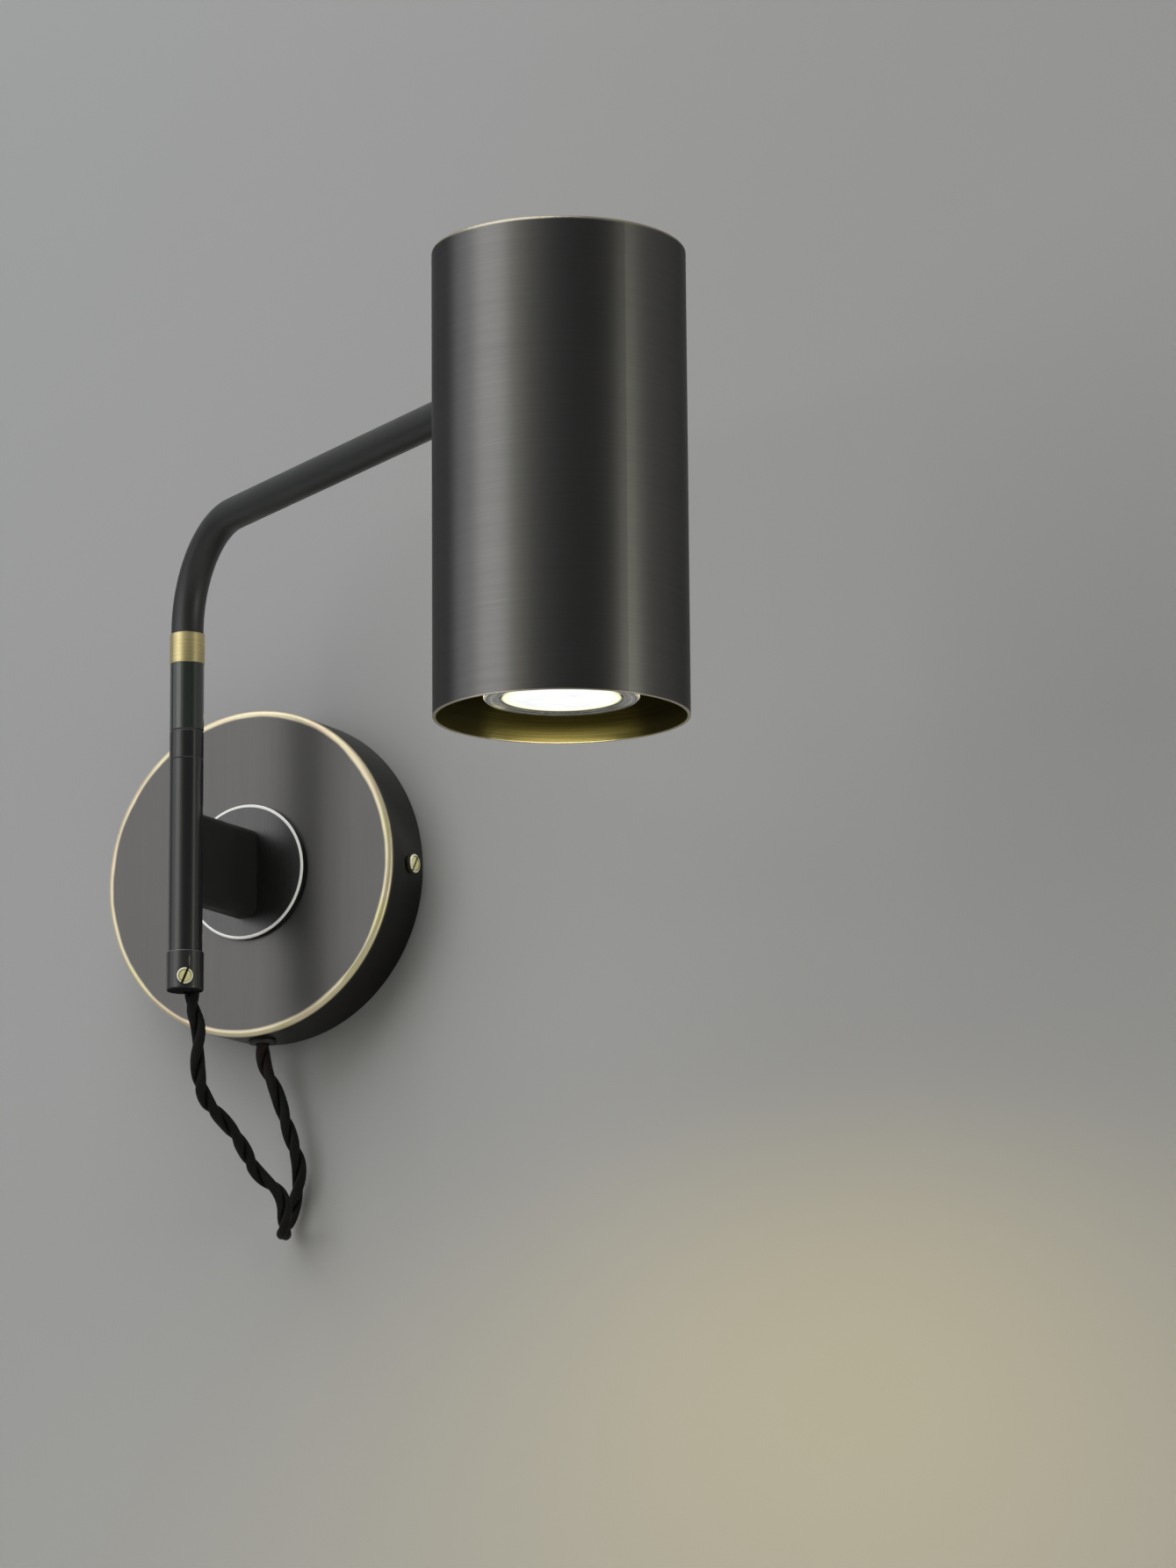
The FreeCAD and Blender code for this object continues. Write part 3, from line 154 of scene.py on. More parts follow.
# Stage
STAGE_LEFT, STAGE_RIGHT = -2.2, 3.2
WALL_PLACE = 0.0004
WALL_FOOT, WALL_TOP = -1.2, 1.9
FLOOR_LEVEL = -0.9
FLOOR_FRONT = -3.2
LIGHTS_FACE = Vector((0.20, -0.15, 0.05))


class Nodes:
    """The node tree of a material or world, with short calls to add and link nodes."""

    def __init__(self, owner):
        owner.use_nodes = True
        self.owner = owner
        self.tree = owner.node_tree

    def add(self, kind, **values):
        node = self.tree.nodes.new(kind)
        for key, value in values.items():
            setattr(node, key, value)
        return node

    def join(self, value, socket):
        """Link a socket, or set a number, tuple or colour on it."""
        if isinstance(value, bpy.types.NodeSocket):
            self.tree.links.new(value, socket)
        elif isinstance(value, tuple) and len(value) == 3 and socket.type == "RGBA":
            socket.default_value = (*value, 1.0)
        else:
            socket.default_value = value

    def math(self, operation, first, second=None):
        node = self.add("ShaderNodeMath", operation=operation)
        self.join(first, node.inputs[0])
        if second is not None:
            self.join(second, node.inputs[1])
        return node.outputs[0]

    def gap(self, first, second):
        """How far apart two numbers are."""
        return self.math("ABSOLUTE", self.math("SUBTRACT", first, second))

    def vector(self, operation, first, second=None):
        node = self.add("ShaderNodeVectorMath", operation=operation)
        self.join(first, node.inputs[0])
        if second is not None:
            self.join(second, node.inputs[1])
        return node.outputs["Value" if operation in ("LENGTH", "DOT_PRODUCT") else "Vector"]

    def place(self):
        """The point in the object's own frame, in metres."""
        return self.add("ShaderNodeTexCoord").outputs["Object"]

    def parts(self, vector):
        node = self.add("ShaderNodeSeparateXYZ")
        self.join(vector, node.inputs[0])
        return node.outputs

    def scaled(self, vector, scale):
        node = self.add("ShaderNodeMapping")
        node.inputs["Scale"].default_value = scale
        self.join(vector, node.inputs["Vector"])
        return node.outputs[0]

    def distance(self, vector, middle, keep):
        """How far a point is from an axis through middle: keep is 1 for the directions that count."""
        away = self.vector("SUBTRACT", vector, middle)
        return self.vector("LENGTH", self.vector("MULTIPLY", away, keep))

    def off_axis(self, vector, middle, direction):
        """How far a point is from a line through middle that runs any way."""
        away = self.vector("SUBTRACT", vector, middle)
        return self.vector("LENGTH", self.vector("CROSS_PRODUCT", away, direction))

    def turned(self, vector, middle):
        """The point with its height raised by its radius, so that streaks run round an axis."""
        across, deep, up = self.parts(vector)
        raised = self.math("ADD", up, self.distance(vector, middle, UPRIGHT))
        node = self.add("ShaderNodeCombineXYZ")
        for value, socket in zip((across, deep, raised), node.inputs):
            self.join(value, socket)
        return node.outputs[0]

    def noise(self, vector, scale, detail, roughness):
        node = self.add("ShaderNodeTexNoise")
        node.inputs["Scale"].default_value = scale
        node.inputs["Detail"].default_value = detail
        node.inputs["Roughness"].default_value = roughness
        self.join(vector, node.inputs["Vector"])
        return node.outputs["Fac"]

    def spread(self, value, low, high, to_low=0.0, to_high=1.0, kind="LINEAR"):
        """Turn low into to_low and high into to_high, and hold the ends."""
        node = self.add("ShaderNodeMapRange", clamp=True, interpolation_type=kind)
        self.join(value, node.inputs["Value"])
        node.inputs["From Min"].default_value = low
        node.inputs["From Max"].default_value = high
        node.inputs["To Min"].default_value = to_low
        node.inputs["To Max"].default_value = to_high
        return node.outputs[0]

    def blend(self, share, first, second):
        """Mix two colours, each a tuple or a socket."""
        node = self.add("ShaderNodeMix", data_type="RGBA")
        colours = [item for item in node.inputs if item.type == "RGBA"]
        self.join(share, node.inputs[0])
        self.join(first, colours[0])
        self.join(second, colours[1])
        return next(item for item in node.outputs if item.type == "RGBA")

    def bump(self, height, distance, strength):
        node = self.add("ShaderNodeBump")
        node.inputs["Distance"].default_value = distance
        node.inputs["Strength"].default_value = strength
        self.join(height, node.inputs["Height"])
        return node.outputs[0]

    def set(self, **values):
        """Set or link the shader's inputs; names have underscores for spaces."""
        shader = self.tree.nodes["Principled BSDF"]
        for key, value in values.items():
            self.join(value, shader.inputs[key.replace("_", " ")])
        return self.owner


# Short calls
def new_material(name):
    return Nodes(bpy.data.materials.new(name))


def dress(material, *pieces):
    """Give CAD nodes, by name, or own pieces a material."""
    for piece in pieces:
        item = nodes[piece] if isinstance(piece, str) else piece
        item.data.materials.clear()
        item.data.materials.append(material)


def times(parts, factor):
    return tuple(factor * part for part in parts)


def tinted(colour, factors):
    return tuple(part * factor for part, factor in zip(colour, factors))


def canopy_radius(m, place):
    return m.distance(place, ORIGIN, OUTWARD)


def shade_radius(m, place):
    return m.distance(place, SHADE_AXIS, UPRIGHT)


def under_canopy_skin(m, place):
    """How deep a point lies under the canopy's rim or face, whichever is nearer."""
    _, depth, _ = m.parts(place)
    from_rim = m.math("SUBTRACT", CANOPY_RADIUS, canopy_radius(m, place))
    return m.math("MINIMUM", from_rim, m.math("ADD", depth, CANOPY_DEPTH))


# Masks of worn edges and of painted edge highlights: 1 where the brass shows and where a highlight is
# painted
def canopy_edge(m, place):
    _, depth, _ = m.parts(place)
    wander = m.noise(place, 38.0, 3.0, 0.5)
    radius = m.math("ADD", canopy_radius(m, place), m.spread(wander, 0.3, 0.7, -0.0004, 0.0004))
    face = m.spread(radius, *CANOPY_WEAR, kind="SMOOTHSTEP")
    rim = m.spread(depth, *CANOPY_WEAR_DEPTH, 1.0, 0.0, "SMOOTHSTEP")
    outside = m.spread(under_canopy_skin(m, place), *CANOPY_SKIN, 1.0, 0.0)
    return m.math("MULTIPLY", m.math("MULTIPLY", face, rim), outside)


# Painted highlight: a near-white line round the boss's front edge, where light catches it
def boss_edge_highlight(m, place):
    _, depth, _ = m.parts(place)
    face = m.spread(canopy_radius(m, place), *BOSS_HIGHLIGHT)
    rim = m.spread(depth, *BOSS_HIGHLIGHT_DEPTH, 1.0, 0.0)
    return m.math("MULTIPLY", face, rim)


def shade_edges(m, place):
    _, _, height = m.parts(place)
    wander = m.noise(place, 30.0, 3.0, 0.5)
    lifted = m.math("ADD", height, m.spread(wander, 0.3, 0.7, -0.0003, 0.0003))
    top = m.spread(lifted, *SHADE_TOP_WEAR, 0.0, 0.6, "SMOOTHSTEP")
    outer = m.spread(shade_radius(m, place), *SHADE_OUTER)
    # Painted highlight: a light line along the mouth's lip; the band round the top's edge is worn brass
    lip = m.spread(height, *SHADE_LIP, 1.0, 0.0)
    return m.math("MAXIMUM", m.math("MULTIPLY", top, outer), m.math("MULTIPLY", lip, 0.7))


# Materials
def brushed(name, brushing, base, light, mask, rough, stretch, axis="Z", turn=0.25,
            edge=(0.70, 0.63, 0.43), edge_metal=0.4, patches=1.0, grazing=1.0, relief=0.2,
            metal=1.0, round_axis=None, extra=None):
    """Brushed bronzed metal with a masked edge colour, worn brass on the canopy and the shade's top and a
    painted highlight on the boss and the shade's lip; brushing scales the point so that the streaks run one
    way.
    """
    m = new_material(name)
    place = m.place()
    lie = m.turned(place, round_axis) if round_axis else place
    fine = m.noise(m.scaled(lie, brushing), 1.0, 3.0, 0.6)
    hair = m.noise(m.scaled(lie, times(brushing, 3.1)), 1.0, 2.0, 0.5)
    cloud = m.noise(place, 24.0, 4.0, 0.55)
    streaks = m.math("ADD", m.math("MULTIPLY", fine, 0.6), m.math("MULTIPLY", hair, 0.4))
    colour = m.blend(m.spread(streaks, 0.3, 0.7), base, light)
    colour = m.blend(m.spread(cloud, 0.4, 0.7, 0.0, 0.22), colour, times(base, 0.8))
    roughness = m.spread(streaks, 0.3, 0.7, rough + 0.02, rough - 0.02)
    if extra:
        colour, roughness, metal = extra(m, place, streaks, colour, roughness)
    share = mask(m, place)
    # Worn brass at the masked edges; on the boss's edge and the shade's lip the same blend paints a
    # highlight
    tint = m.noise(place, 48.0, 2.0, 0.5)
    less_red = m.spread(tint, 0.35, 0.5, 1.0 - patches, 1.0)
    wear_and_highlight = m.blend(less_red, tinted(edge, (1.01, 0.93, 0.97)), edge)
    more_olive = m.spread(tint, 0.52, 0.66, 0.0, patches)
    wear_and_highlight = m.blend(more_olive, wear_and_highlight, tinted(edge, (0.94, 0.97, 0.74)))
    tangent = m.add("ShaderNodeTangent", direction_type="RADIAL", axis=axis)
    return m.set(
        Base_Color=m.blend(share, colour, wear_and_highlight), Roughness=roughness,
        Metallic=m.math("MINIMUM", m.spread(share, 0.0, 1.0, 1.0, edge_metal), metal),
        Anisotropic=stretch, Anisotropic_Rotation=turn, Tangent=tangent.outputs[0],
        Specular_Tint=(grazing, grazing, grazing), Normal=m.bump(fine, 0.00002, relief))


def dark_rim(m, place, streaks, colour, roughness):
    """The canopy's rim is darker than its face and greener towards its top, and its inside is bare dull
    brass.
    """
    _, depth, height = m.parts(place)
    share = m.spread(depth, *CANOPY_BLACK, 0.0, 0.85)
    green = m.spread(height, -0.03, 0.045)
    black = m.blend(green, (0.026, 0.024, 0.022), (0.018, 0.021, 0.017))
    inside = m.spread(under_canopy_skin(m, place), *CANOPY_BARE)
    stain = m.noise(place, 55.0, 4.0, 0.6)
    bare = m.blend(m.spread(stain, 0.35, 0.65), (0.27, 0.225, 0.13), (0.40, 0.345, 0.21))
    dull = m.math("ADD", roughness, m.math("MULTIPLY", inside, 0.12))
    return m.blend(inside, m.blend(share, colour, black), bare), dull, 1.0


def inner_wall_painted_glow(m, place, streaks, colour, roughness):
    """The shade's inner wall: turned, smoother than the outside, and olive, a painted light that stands in
    partly for the lamp's warm glow on it.
    """
    _, _, height = m.parts(place)
    within = m.spread(shade_radius(m, place), *SHADE_BORE, 1.0, 0.0)
    inside = m.math("MULTIPLY", within, m.spread(height, *SHADE_CEILING, 1.0, 0.0))
    # Painted light: the olive colour stands in partly for the lamp's warm glow on the inner wall
    olive_painted_glow = m.blend(m.spread(streaks, 0.3, 0.7), (0.055, 0.050, 0.020), (0.160, 0.146, 0.058))
    smoother = m.math("SUBTRACT", roughness, m.math("MULTIPLY", inside, 0.16))
    return m.blend(inside, colour, olive_painted_glow), smoother, m.spread(inside, 0.0, 1.0, 1.0, 0.8)


def painted(name, base, light, rough, coat=0.0, lit_edges_at=(), foot=-1.0):
    """Satin paint with a slight orange peel; a lighter line is painted round each given edge height as a
    painted highlight, and it is dull below foot.
    """
    m = new_material(name)
    place = m.place()
    peel = m.noise(place, 900.0, 2.0, 0.5)
    cloud = m.noise(m.scaled(place, (40.0, 40.0, 14.0)), 1.0, 4.0, 0.55)
    colour = m.blend(m.spread(cloud, 0.3, 0.7), base, light)
    _, _, height = m.parts(place)
    # Painted highlight: a lighter line along each given edge, the collar's seams and the cap's shoulder
    for level in lit_edges_at:
        close = m.spread(m.gap(height, level), 0.0001, 0.0003, 1.0, 0.0)
        edge_highlight = m.math("MULTIPLY", close, m.spread(cloud, 0.3, 0.6, 0.3, 1.0))
        colour = m.blend(edge_highlight, colour, (0.13, 0.13, 0.125))
    glossy = m.spread(height, foot, foot + 0.0004)
    return m.set(
        Base_Color=colour, Roughness=m.spread(cloud, 0.3, 0.7, rough + 0.04, rough - 0.04),
        Specular_IOR_Level=m.spread(glossy, 0.0, 1.0, 0.0, 0.5),
        Coat_Weight=m.spread(glossy, 0.0, 1.0, 0.0, coat), Normal=m.bump(peel, 0.00001, 0.5))


def plain_metal(name, base, light, rough, scale, metal=1.0):
    """Plated or cast metal with a fine tooled grain."""
    m = new_material(name)
    place = m.place()
    grain = m.noise(m.scaled(place, scale), 1.0, 4.0, 0.6)
    cloud = m.noise(place, 90.0, 3.0, 0.5)
    colour = m.blend(m.spread(grain, 0.35, 0.65), base, light)
    colour = m.blend(m.spread(cloud, 0.45, 0.7, 0.0, 0.35), colour, times(base, 0.7))
    return m.set(
        Base_Color=colour, Metallic=metal,
        Roughness=m.spread(cloud, 0.3, 0.7, rough + 0.06, rough - 0.06),
        Normal=m.bump(grain, 0.00001, 0.6))


def screw_brass(name, direction, top, middle, head):
    """Bright brass with a painted highlight on its rim, painted shade in its ring groove, and painted shade
    on the flanks and in the slot below the face at top.
    """
    m = new_material(name)
    place = m.place()
    level = m.math("ABSOLUTE", m.vector("DOT_PRODUCT", place, direction))
    grain = m.noise(place, 1500.0, 3.0, 0.6)
    # Painted shade: the flanks and the slot, below the face, are dark
    deep = m.spread(level, top - 0.0006, top - 0.0003, 1.0, 0.0)
    colour = m.blend(m.spread(grain, 0.35, 0.65), (0.72, 0.66, 0.27), (1.0, 0.97, 0.58))
    off = m.off_axis(place, middle, direction)
    # Painted shade in the ring groove
    groove_shade = m.spread(m.gap(off, 0.76 * head), 0.03 * head, 0.08 * head, 0.75, 0.0)
    colour = m.blend(groove_shade, colour, (0.10, 0.085, 0.03))
    # Painted highlight: a pale line round the head's rim
    colour = m.blend(m.spread(off, 0.82 * head, 0.86 * head), colour, (1.0, 1.0, 0.80))
    return m.set(
        Base_Color=m.blend(deep, colour, (0.055, 0.045, 0.02)), Metallic=0.25,
        Roughness=m.spread(grain, 0.3, 0.7, 0.34, 0.24), Normal=m.bump(grain, 0.00002, 0.5))


def plastic(name, base, light, rough, grain=1400.0, **more):
    m = new_material(name)
    place = m.place()
    fine = m.noise(place, grain, 3.0, 0.5)
    cloud = m.noise(place, 120.0, 3.0, 0.5)
    return m.set(
        Base_Color=m.blend(m.spread(cloud, 0.3, 0.7), base, light),
        Roughness=m.spread(fine, 0.3, 0.7, rough + 0.05, rough - 0.05),
        Normal=m.bump(fine, 0.00002, 0.6), **more)


def braided(name):
    """Textile sleeve whose yarns cross by the strand's length and girth; it is browner near the wall."""
    m = new_material(name)
    along, girth, _ = m.parts(m.add("ShaderNodeUVMap", uv_map="strand").outputs[0])
    lengthwise = m.math("MULTIPLY", along, 5600.0)
    around = m.math("MULTIPLY", girth, 50.265)
    left, right = (m.math("SINE", m.math(way, lengthwise, around)) for way in ("ADD", "SUBTRACT"))
    weave = m.math("MAXIMUM", left, right)
    place = m.place()
    fuzz = m.noise(place, 2600.0, 3.0, 0.7)
    tone = m.math("ADD", m.math("MULTIPLY", weave, 0.3), fuzz)
    _, depth, height = m.parts(place)
    brown = m.math("MULTIPLY", m.spread(height, -0.082, -0.060), m.spread(depth, -0.03, -0.016))
    dark = m.blend(brown, (0.0012, 0.0011, 0.0011), (0.006, 0.003, 0.0025))
    light = m.blend(brown, (0.0065, 0.006, 0.0058), (0.026, 0.016, 0.012))
    return m.set(
        Base_Color=m.blend(m.spread(tone, 0.2, 0.95), dark, light), Roughness=0.55,
        Specular_IOR_Level=0.14, Sheen_Weight=0.012, Sheen_Roughness=0.5,
        Normal=m.bump(weave, 0.00012, 0.8))


def glowing_lens():
    """Frosted front of the lit lamp, with moulded cells and a warmer rim."""
    m = new_material("lens_lit")
    place = m.place()
    radius = shade_radius(m, place)
    cells = m.add("ShaderNodeTexVoronoi", feature="F1")
    cells.inputs["Scale"].default_value = 420.0
    m.join(place, cells.inputs["Vector"])
    from_cell = cells.outputs["Distance"]
    cloud = m.noise(place, 110.0, 2.0, 0.5)
    colour = m.blend(m.spread(cloud, 0.35, 0.65), (0.83, 0.85, 0.83), (0.95, 0.95, 0.99))
    colour = m.blend(m.spread(from_cell, 0.2, 0.8, 0.0, 0.25), colour, (1.0, 1.0, 1.0))
    colour = m.blend(m.spread(radius, *LENS_WARM), colour, (0.98, 0.99, 0.80))
    colour = m.blend(m.spread(radius, *LENS_RIM), colour, (0.70, 0.68, 0.36))
    return m.set(
        Base_Color=(0.05, 0.05, 0.045), Roughness=0.25, Emission_Color=colour, Emission_Strength=1.0,
        Normal=m.bump(from_cell, 0.0002, 0.5))


def glass_ring():
    """The lamp's glass rim, lit from within, with fine turned lines and a bright outer edge."""
    m = new_material("lamp_rim_glass")
    place = m.place()
    radius = shade_radius(m, place)
    smudge = m.noise(m.scaled(place, (260.0, 260.0, 260.0)), 1.0, 3.0, 0.6)
    uneven = m.math("ADD", m.math("MULTIPLY", radius, 4600.0), m.math("MULTIPLY", smudge, 5.0))
    tone = m.math("ADD", m.math("MULTIPLY", m.math("SINE", uneven), 0.28), smudge)
    colour = m.blend(m.spread(tone, 0.25, 0.8), (0.035, 0.036, 0.034), (0.17, 0.17, 0.16))
    line = m.spread(m.gap(radius, RING_LINE), 0.00008, 0.00025, 0.7, 0.0)
    colour = m.blend(line, colour, (0.50, 0.50, 0.47))
    colour = m.blend(m.spread(radius, *RING_EDGE), colour, (0.72, 0.72, 0.68))
    colour = m.blend(m.spread(radius, *RING_FOOT, 1.0, 0.0), colour, (0.05, 0.05, 0.045))
    side = m.spread(radius, *RING_SIDE)
    return m.set(
        Base_Color=colour, Roughness=0.14, Emission_Color=m.blend(side, colour, (1.0, 0.86, 0.42)),
        Emission_Strength=m.spread(side, 0.0, 1.0, 0.42, 2.2), Coat_Weight=0.5,
        Normal=m.bump(smudge, 0.00005, 0.4))


def leaking_body():
    """Cast lamp body; a little of the light leaks out behind its front rim."""
    m = new_material("cast_lamp_metal")
    place = m.place()
    _, _, height = m.parts(place)
    grain = m.noise(m.scaled(place, (500.0, 500.0, 500.0)), 1.0, 4.0, 0.6)
    rings = m.noise(m.scaled(place, (12.0, 12.0, 900.0)), 1.0, 2.0, 0.5)
    leak = m.math("MULTIPLY", m.spread(height, 0.008, 0.017, 1.0, 0.0), m.spread(rings, 0.3, 0.7, 0.35, 1.0))
    return m.set(
        Base_Color=m.blend(m.spread(grain, 0.35, 0.65), (0.60, 0.60, 0.59), (0.74, 0.73, 0.71)),
        Metallic=1.0, Roughness=0.42, Emission_Color=(1.0, 0.86, 0.24),
        Emission_Strength=m.math("MULTIPLY", leak, 0.36), Normal=m.bump(grain, 0.00001, 0.6))


def wall_paint():
    """Matt grey paint with painted light: cooler at the upper left and paler below."""
    m = new_material("wall_paint")
    place = m.place()
    across, _, up = m.parts(place)
    cloud = m.noise(m.scaled(place, (1.4, 1.0, 1.4)), 1.0, 3.0, 0.5)
    # Painted light: a cooler tint at the upper left
    cool_painted_light = m.math("MULTIPLY", m.spread(across, 0.15, -0.35), m.spread(up, -0.2, 0.5, 0.4, 1.0))
    colour = m.blend(m.spread(cloud, 0.35, 0.65), (0.357, 0.357, 0.362), (0.369, 0.367, 0.371))
    # Painted light: paler below, evening out how the lamps light the wall
    colour = m.blend(m.spread(up, -0.25, 0.30, 1.0, 0.0), colour, (0.424, 0.423, 0.424))
    colour = m.blend(m.math("MULTIPLY", cool_painted_light, 0.8), colour, (0.328, 0.352, 0.358))
    fine = m.noise(place, 500.0, 2.0, 0.5)
    m.set(Base_Color=colour, Roughness=0.85, Normal=m.bump(fine, 0.0001, 0.15))
    return one_sided(m)


def floor_paint():
    m = new_material("floor_paint")
    cloud = m.noise(m.place(), 2.0, 3.0, 0.5)
    colour = m.blend(m.spread(cloud, 0.3, 0.7), (0.60, 0.60, 0.59), (0.64, 0.64, 0.63))
    m.set(Base_Color=colour, Roughness=0.8)
    return one_sided(m)


def one_sided(m):
    """Make a stage material show from its front only, and let light from behind through."""
    back = m.add("ShaderNodeNewGeometry").outputs["Backfacing"]
    shadow = m.add("ShaderNodeLightPath").outputs["Is Shadow Ray"]
    clear = m.add("ShaderNodeBsdfTransparent")
    mix = m.add("ShaderNodeMixShader")
    m.join(m.math("MAXIMUM", back, shadow), mix.inputs[0])
    m.join(m.tree.nodes["Principled BSDF"].outputs[0], mix.inputs[1])
    m.join(clear.outputs[0], mix.inputs[2])
    m.join(mix.outputs[0], m.tree.nodes["Material Output"].inputs["Surface"])
    return m.owner


# Pieces made here
def new_piece(name, mesh, uv_name=None):
    data = bpy.data.meshes.new(name)
    mesh.to_mesh(data)
    mesh.free()
    if uv_name:
        data.uv_layers[0].name = uv_name
    piece = bpy.data.objects.new(name, data)
    scene.collection.objects.link(piece)
    return piece


def facing(place, away):
    """A frame at place whose Z axis runs along away."""
    return Matrix.Translation(place) @ away.to_track_quat("Z", "Y").to_matrix().to_4x4()


def route_line(points):
    """Points along the NURBS spline that has these control points."""
    curve = bpy.data.curves.new("route", "CURVE")
    curve.dimensions = "3D"
    curve.resolution_u = 32
    spline = curve.splines.new("NURBS")
    spline.points.add(len(points) - 1)
    for item, point in zip(spline.points, points):
        item.co = (*point, 1.0)
    spline.order_u = 3
    spline.use_endpoint_u = True
    holder = bpy.data.objects.new("route", curve)
    mesh = bpy.data.meshes.new_from_object(holder)
    line = [vertex.co.copy() for vertex in mesh.vertices]
    bpy.data.objects.remove(holder)
    bpy.data.curves.remove(curve)
    bpy.data.meshes.remove(mesh)
    return line


def evenly(line):
    """The same line as points about a strand's step apart, and the step between them."""
    lengths = [0.0]
    for before, after in zip(line, line[1:]):
        lengths.append(lengths[-1] + (after - before).length)
    count = max(2, round(lengths[-1] / STRAND_STEP))
    spaced, at = [], 0
    for index in range(count + 1):
        want = lengths[-1] * index / count
        while at < len(line) - 2 and lengths[at + 1] < want:
            at += 1
        run = lengths[at + 1] - lengths[at]
        share = 0.0 if run == 0 else min(1.0, (want - lengths[at]) / run)
        spaced.append(line[at].lerp(line[at + 1], share))
    return spaced, lengths[-1] / count


def line_frames(line):
    """A tangent and two steady normals at each point of a line."""
    tangents = []
    for index in range(len(line)):
        before = line[max(index - 1, 0)]
        after = line[min(index + 1, len(line) - 1)]
        tangents.append((after - before).normalized())
    normal = tangents[0].orthogonal().normalized()
    found = []
    for tangent in tangents:
        normal = (normal - tangent * normal.dot(tangent)).normalized()
        found.append((tangent, normal, tangent.cross(normal)))
    return found


def add_tube(mesh, line, radius, step, width=None, towards=None):
    """A closed tube along a line, with its length and girth as UV; with towards, it is width across."""
    uv = mesh.loops.layers.uv.verify()
    rings = []
    for number, (point, (tangent, normal, side)) in enumerate(zip(line, line_frames(line))):
        if towards:
            normal = (towards[number] - tangent * towards[number].dot(tangent)).normalized()
            side = tangent.cross(normal) * (width / radius)
        ring = []
        for index in range(STRAND_SIDES):
            angle = 2 * math.pi * index / STRAND_SIDES
            outward = math.cos(angle) * normal + math.sin(angle) * side
            ring.append(mesh.verts.new(point + radius * outward))
        rings.append(ring)
    for index, (ring, following) in enumerate(zip(rings, rings[1:])):
        for side in range(STRAND_SIDES):
            other = (side + 1) % STRAND_SIDES
            face = mesh.faces.new((ring[side], ring[other], following[other], following[side]))
            face.smooth = True
            corners = ((index, side), (index, side + 1), (index + 1, side + 1), (index + 1, side))
            for loop, (along, girth) in zip(face.loops, corners):
                loop[uv].uv = (along * step, girth / STRAND_SIDES)
    mesh.faces.new(list(reversed(rings[0])))
    mesh.faces.new(rings[-1])


def twisted_flex(name, points, body, replaced, phase=0.0):
    """Two covered strands laid round each other along a route."""
    line, step = evenly(route_line(points))
    mesh = bmesh.new()
    around = line_frames(line)
    for half in (0.0, math.pi):
        strand, outward = [], []
        for index, (point, (_, normal, side)) in enumerate(zip(line, around)):
            angle = phase + half + 2 * math.pi * index * step / STRAND_PITCH
            angle += TURN_WANDER * math.sin(index * step * WANDER_RATE)
            outward.append(math.cos(angle) * normal + math.sin(angle) * side)
            strand.append(point + STRAND_OFFSET * outward[-1])
        add_tube(mesh, strand, STRAND_RADIUS, step, STRAND_WIDTH, outward)
    piece = new_piece(name, mesh, "strand")
    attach(piece, body)
    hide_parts(replaced)
    return piece, line


def canopy_leads():
    """The two strands, parted inside the canopy, up to the terminal block."""
    mesh = bmesh.new()
    for side in (-1, 1):
        beside = side * LEAD_GAP
        pole = side * POLE_GAP + BLOCK_MIDDLE
        line, step = evenly(route_line([
            (beside, -0.012, -0.0612),
            (beside, -0.012, -0.04805),
            (pole * 0.55 + beside, -0.012, -0.02936),
            (pole, -0.007, -0.01601),
            (pole, -0.007, -0.0032),
        ]))
        add_tube(mesh, line, LEAD_RADIUS, step)
    piece = new_piece("canopy_lead_strands", mesh, "strand")
    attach(piece, "root")
    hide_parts("canopy_leads")
    return piece


def lathe(mesh, profile, matrix):
    """A closed turned form: radius and height from the foot's middle to the top's middle."""
    angles = [2 * math.pi * index / HEAD_SIDES for index in range(HEAD_SIDES)]
    rings = []
    for radius, height in profile:
        corners = [(radius * math.cos(angle), radius * math.sin(angle), height) for angle in angles]
        if radius == 0.0:
            corners = [(0.0, 0.0, height)]
        rings.append([mesh.verts.new(matrix @ Vector(corner)) for corner in corners])
    for lower, upper in zip(rings, rings[1:]):
        for index in range(HEAD_SIDES):
            other = (index + 1) % HEAD_SIDES
            if len(lower) == 1:
                mesh.faces.new((lower[0], upper[other], upper[index]))
            elif len(upper) == 1:
                mesh.faces.new((lower[index], lower[other], upper[0]))
            else:
                mesh.faces.new((lower[index], lower[other], upper[other], upper[index]))


